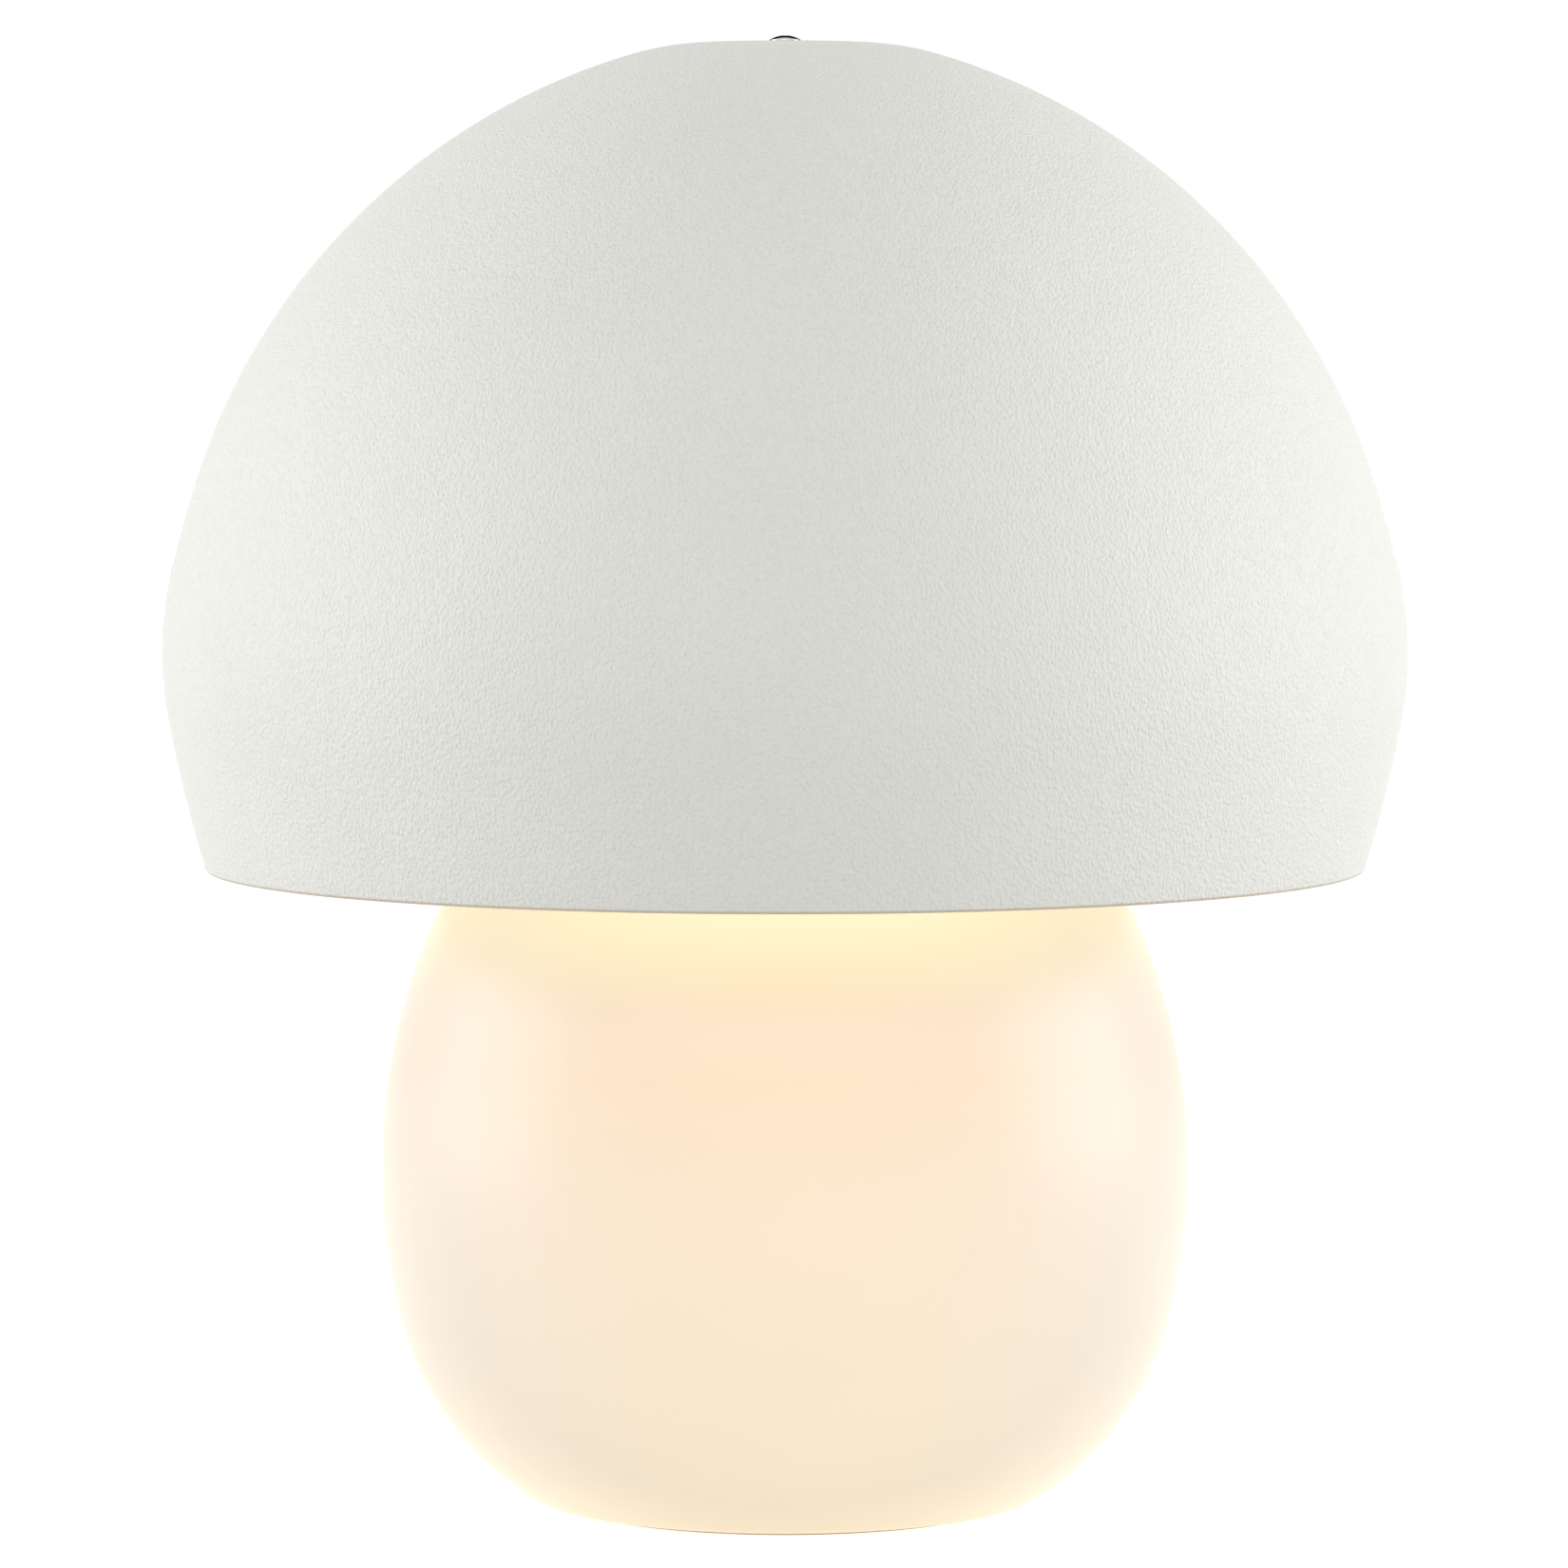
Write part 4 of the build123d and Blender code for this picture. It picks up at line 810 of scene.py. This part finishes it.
def fluted_knob():
    """The knob: one scallop drawn, repeated round, pulled out and rounded at its end."""
    bm = bmesh.new()
    half = degrees(asin(FLUTE_RADIUS / KNOB_RADIUS))
    share = 360 / FLUTES
    flute = Vector((cos(radians(share)), sin(radians(share)), 0)) * KNOB_RADIUS
    vert = bm.verts.new((KNOB_RADIUS * cos(radians(half)), KNOB_RADIUS * sin(radians(half)), 0))
    rim = bmesh.ops.spin(bm, geom=[vert], cent=(0, 0, 0), axis=(0, 0, 1), angle=radians(share - 2 * half), steps=3)
    bmesh.ops.spin(bm, geom=[rim["geom_last"][0]], cent=flute, axis=(0, 0, 1), angle=-radians(180 - half), steps=5)
    bmesh.ops.spin(bm, geom=bm.verts[:] + bm.edges[:], cent=(0, 0, 0), axis=(0, 0, 1), angle=tau, steps=FLUTES,
                   use_duplicate=True)
    bmesh.ops.remove_doubles(bm, verts=bm.verts, dist=0.06)
    face = bmesh.ops.contextual_create(bm, geom=bm.edges[:])["faces"]
    pulled = bmesh.ops.extrude_face_region(bm, geom=face)["geom"]
    lifted = [v for v in pulled if isinstance(v, bmesh.types.BMVert)]
    bmesh.ops.translate(bm, vec=(0, 0, KNOB_BODY), verts=lifted)
    merge(bm)
    for end in (0, KNOB_BODY):
        cap = [f for f in bm.faces if all(abs(v.co.z - end) < 0.01 for v in f.verts)]
        bmesh.ops.inset_region(bm, faces=cap, thickness=0.35, depth=0.3)
        bmesh.ops.inset_region(bm, faces=cap, thickness=0.4, depth=0.1)
    move(bm, z=KNOB_STANDS_OFF)
    bmesh.ops.recalc_face_normals(bm, faces=bm.faces)
    return lay_forward(bm, SWITCH_HEIGHT)


shown("holder_tube", shell_tube(), "base", BRASS, "holder_shell", crisp=False)
shown("holder_cup", cap_cup(), "base", BRASS, "holder_cap", crisp=False)
shown("socket_thread", socket_shell(), "base", BRASS, "screw_shell", crisp=False)
shown("switch_grip", fluted_knob(), "switch", PHENOLIC, "switch_knob")


# ---------------------------------------------------------------- bulb
def globe():
    """The frosted globe with its neck, one even wall."""
    bm = bmesh.new()
    draw(bm, (0, 323.2), [(30.0, -125), (40.0, 27), 5.05])
    turn_round(bm, 128)
    bmesh.ops.solidify(bm, geom=bm.faces[:], thickness=1.2)
    return bm


def collar():
    """The plastic collar: a smooth cone with a step under the globe and a groove above the cap."""
    corners = [[13.6, 238.7], [14.0, 239.1], [14.2, 241.0], [13.9, 241.3], [14.0, 241.8], [16.6, 252.2], [16.6, 252.6],
               [17.03, 252.8], [17.03, 253.6], [15.53, 253.6], [12.5, 240.2], [0, 240.2]]
    return turned((0, 238.7), corners, edge=0.15, around=112)


def screw_cap():
    """The bulb's cap: a rolled thread, a plain skirt above it and a cone down to the insulator."""
    bm = threaded(12.25, 12.9, BULB_THREAD_PITCH, 222.2, 236.6, around=64, bore=11.8)
    join(bm, turned((12.3, 236.2), [[12.75, 236.4], [12.9, 236.9], [12.9, 238.7], [12.3, 238.7], [12.3, 236.2]],
                    edge=0.12))
    return join(bm, turned((6.0, 220.7), [[9.0, 220.7], [12.5, 222.3], [11.6, 222.4], [6.0, 221.2], [6.0, 220.7]],
                           edge=0.15))


def insulator():
    """The black glass cone, rounded at its edges."""
    return turned((0, 214.7), [[4.5, 214.7], [5.2, 215.6], [11.6, 219.9], [12.2, 220.7], [0, 220.7]], edge=0.4,
                  segments=3)


def contact_tip():
    """The soldered tip: a low rounded blob on a flat disc."""
    return turned((0, 213.2), [(6.0, 18), [3.4, 214.0], [4.5, 214.2], [4.5, 214.7], [0, 214.7]], edge=0.2)


shown("globe_glass", globe(), "bulb", FROSTED, "bulb_globe", crisp=False)
shown("collar_cone", collar(), "bulb", COLLAR_PLASTIC, "bulb_collar")
shown("cap_thread", screw_cap(), "bulb", NICKEL, "bulb_screw_cap", crisp=False)
shown("cap_insulator", insulator(), "bulb", PHENOLIC, "bulb_insulator")
shown("cap_tip", contact_tip(), "bulb", SOLDER, "bulb_tip")

# ---------------------------------------------------------------- finishes of the pieces kept as they are
KEPT = {
    "lower_gasket": RUBBER, "lower_nut": ZINC, "upper_gasket": RUBBER, "saddle_plate": WHITE_PAINT,
    "yoke_nuts": ZINC, "stem_pipe": ZINC, "insulating_liner": FIBRE, "interior_body": PHENOLIC,
    "terminal_screws": BRASS, "centre_contact": BRASS, "switch_rotor": PHENOLIC, "switch_spindle": BRASS,
    "bulb_led_board": BOARD,
}
for name, finish in KEPT.items():
    nodes[name].data.materials.clear()
    nodes[name].data.materials.append(finish)


# ---------------------------------------------------------------- studio
def seen_as_white(tree):
    """1 where the camera, a reflection or a view through glass meets the studio, 0 for the light it gives."""
    path = add(tree, "ShaderNodeLightPath").outputs
    through = math_of(tree, "MAXIMUM", path["Is Glossy Ray"], path["Is Transmission Ray"])
    return math_of(tree, "MAXIMUM", path["Is Camera Ray"], through)


def white_floor():
    """A wide floor that reads white to the camera and still takes the lamp's shadow."""
    bm = bmesh.new()
    bmesh.ops.create_circle(bm, cap_ends=True, segments=64, radius=9.0)
    mesh = bpy.data.meshes.new("studio_floor")
    bm.to_mesh(mesh)
    bm.free()
    floor = bpy.data.objects.new("studio_floor", mesh)
    scene.collection.objects.link(floor)
    material, tree, shader = new_finish("studio_floor_white", Roughness=0.9)
    shader.inputs["Specular IOR Level"].default_value = 0.0
    shader.inputs["Base Color"].default_value = (0.76, 0.76, 0.76, 1)
    shader.inputs["Emission Color"].default_value = (1, 1, 1, 1)
    underneath = add(tree, "ShaderNodeNewGeometry").outputs["Backfacing"]
    tree.links.new(between(tree, underneath, 0, 1, 1, 0), shader.inputs["Alpha"])
    tree.links.new(math_of(tree, "MULTIPLY", seen_as_white(tree), 0.6), shader.inputs["Emission Strength"])
    mesh.materials.append(material)


def studio_world():
    """White all round to the camera and in reflections, and a plain level of light from every side."""
    world = bpy.data.worlds.new("studio_white")
    world.use_nodes = True
    tree = world.node_tree
    back = tree.nodes["Background"]
    back.inputs["Color"].default_value = (1, 1, 1, 1)
    tree.links.new(between(tree, seen_as_white(tree), 0, 1, 0.62, 1.0), back.inputs["Strength"])
    scene.world = world


def soft_box(name, place, size, power, aim=(0, 0, 0.22)):
    """A large soft light turned towards the lamp."""
    data = bpy.data.lights.new(name, "AREA")
    data.shape = "RECTANGLE"
    data.size, data.size_y = size
    data.energy = power
    light = bpy.data.objects.new(name, data)
    light.location = place
    light.rotation_euler = (Vector(aim) - Vector(place)).to_track_quat("-Z", "Y").to_euler()
    light.visible_camera = False
    scene.collection.objects.link(light)


white_floor()
studio_world()
soft_box("left_box", (-1.6, 0.12, 0.44), (1.3, 1.2), 11.9)
soft_box("right_box", (1.6, 0.12, 0.44), (1.3, 1.2), 13.0)
soft_box("front_box", (0, -2.4, 1.7), (2.4, 1.0), 13.0)
scene.view_settings.view_transform = "Standard"
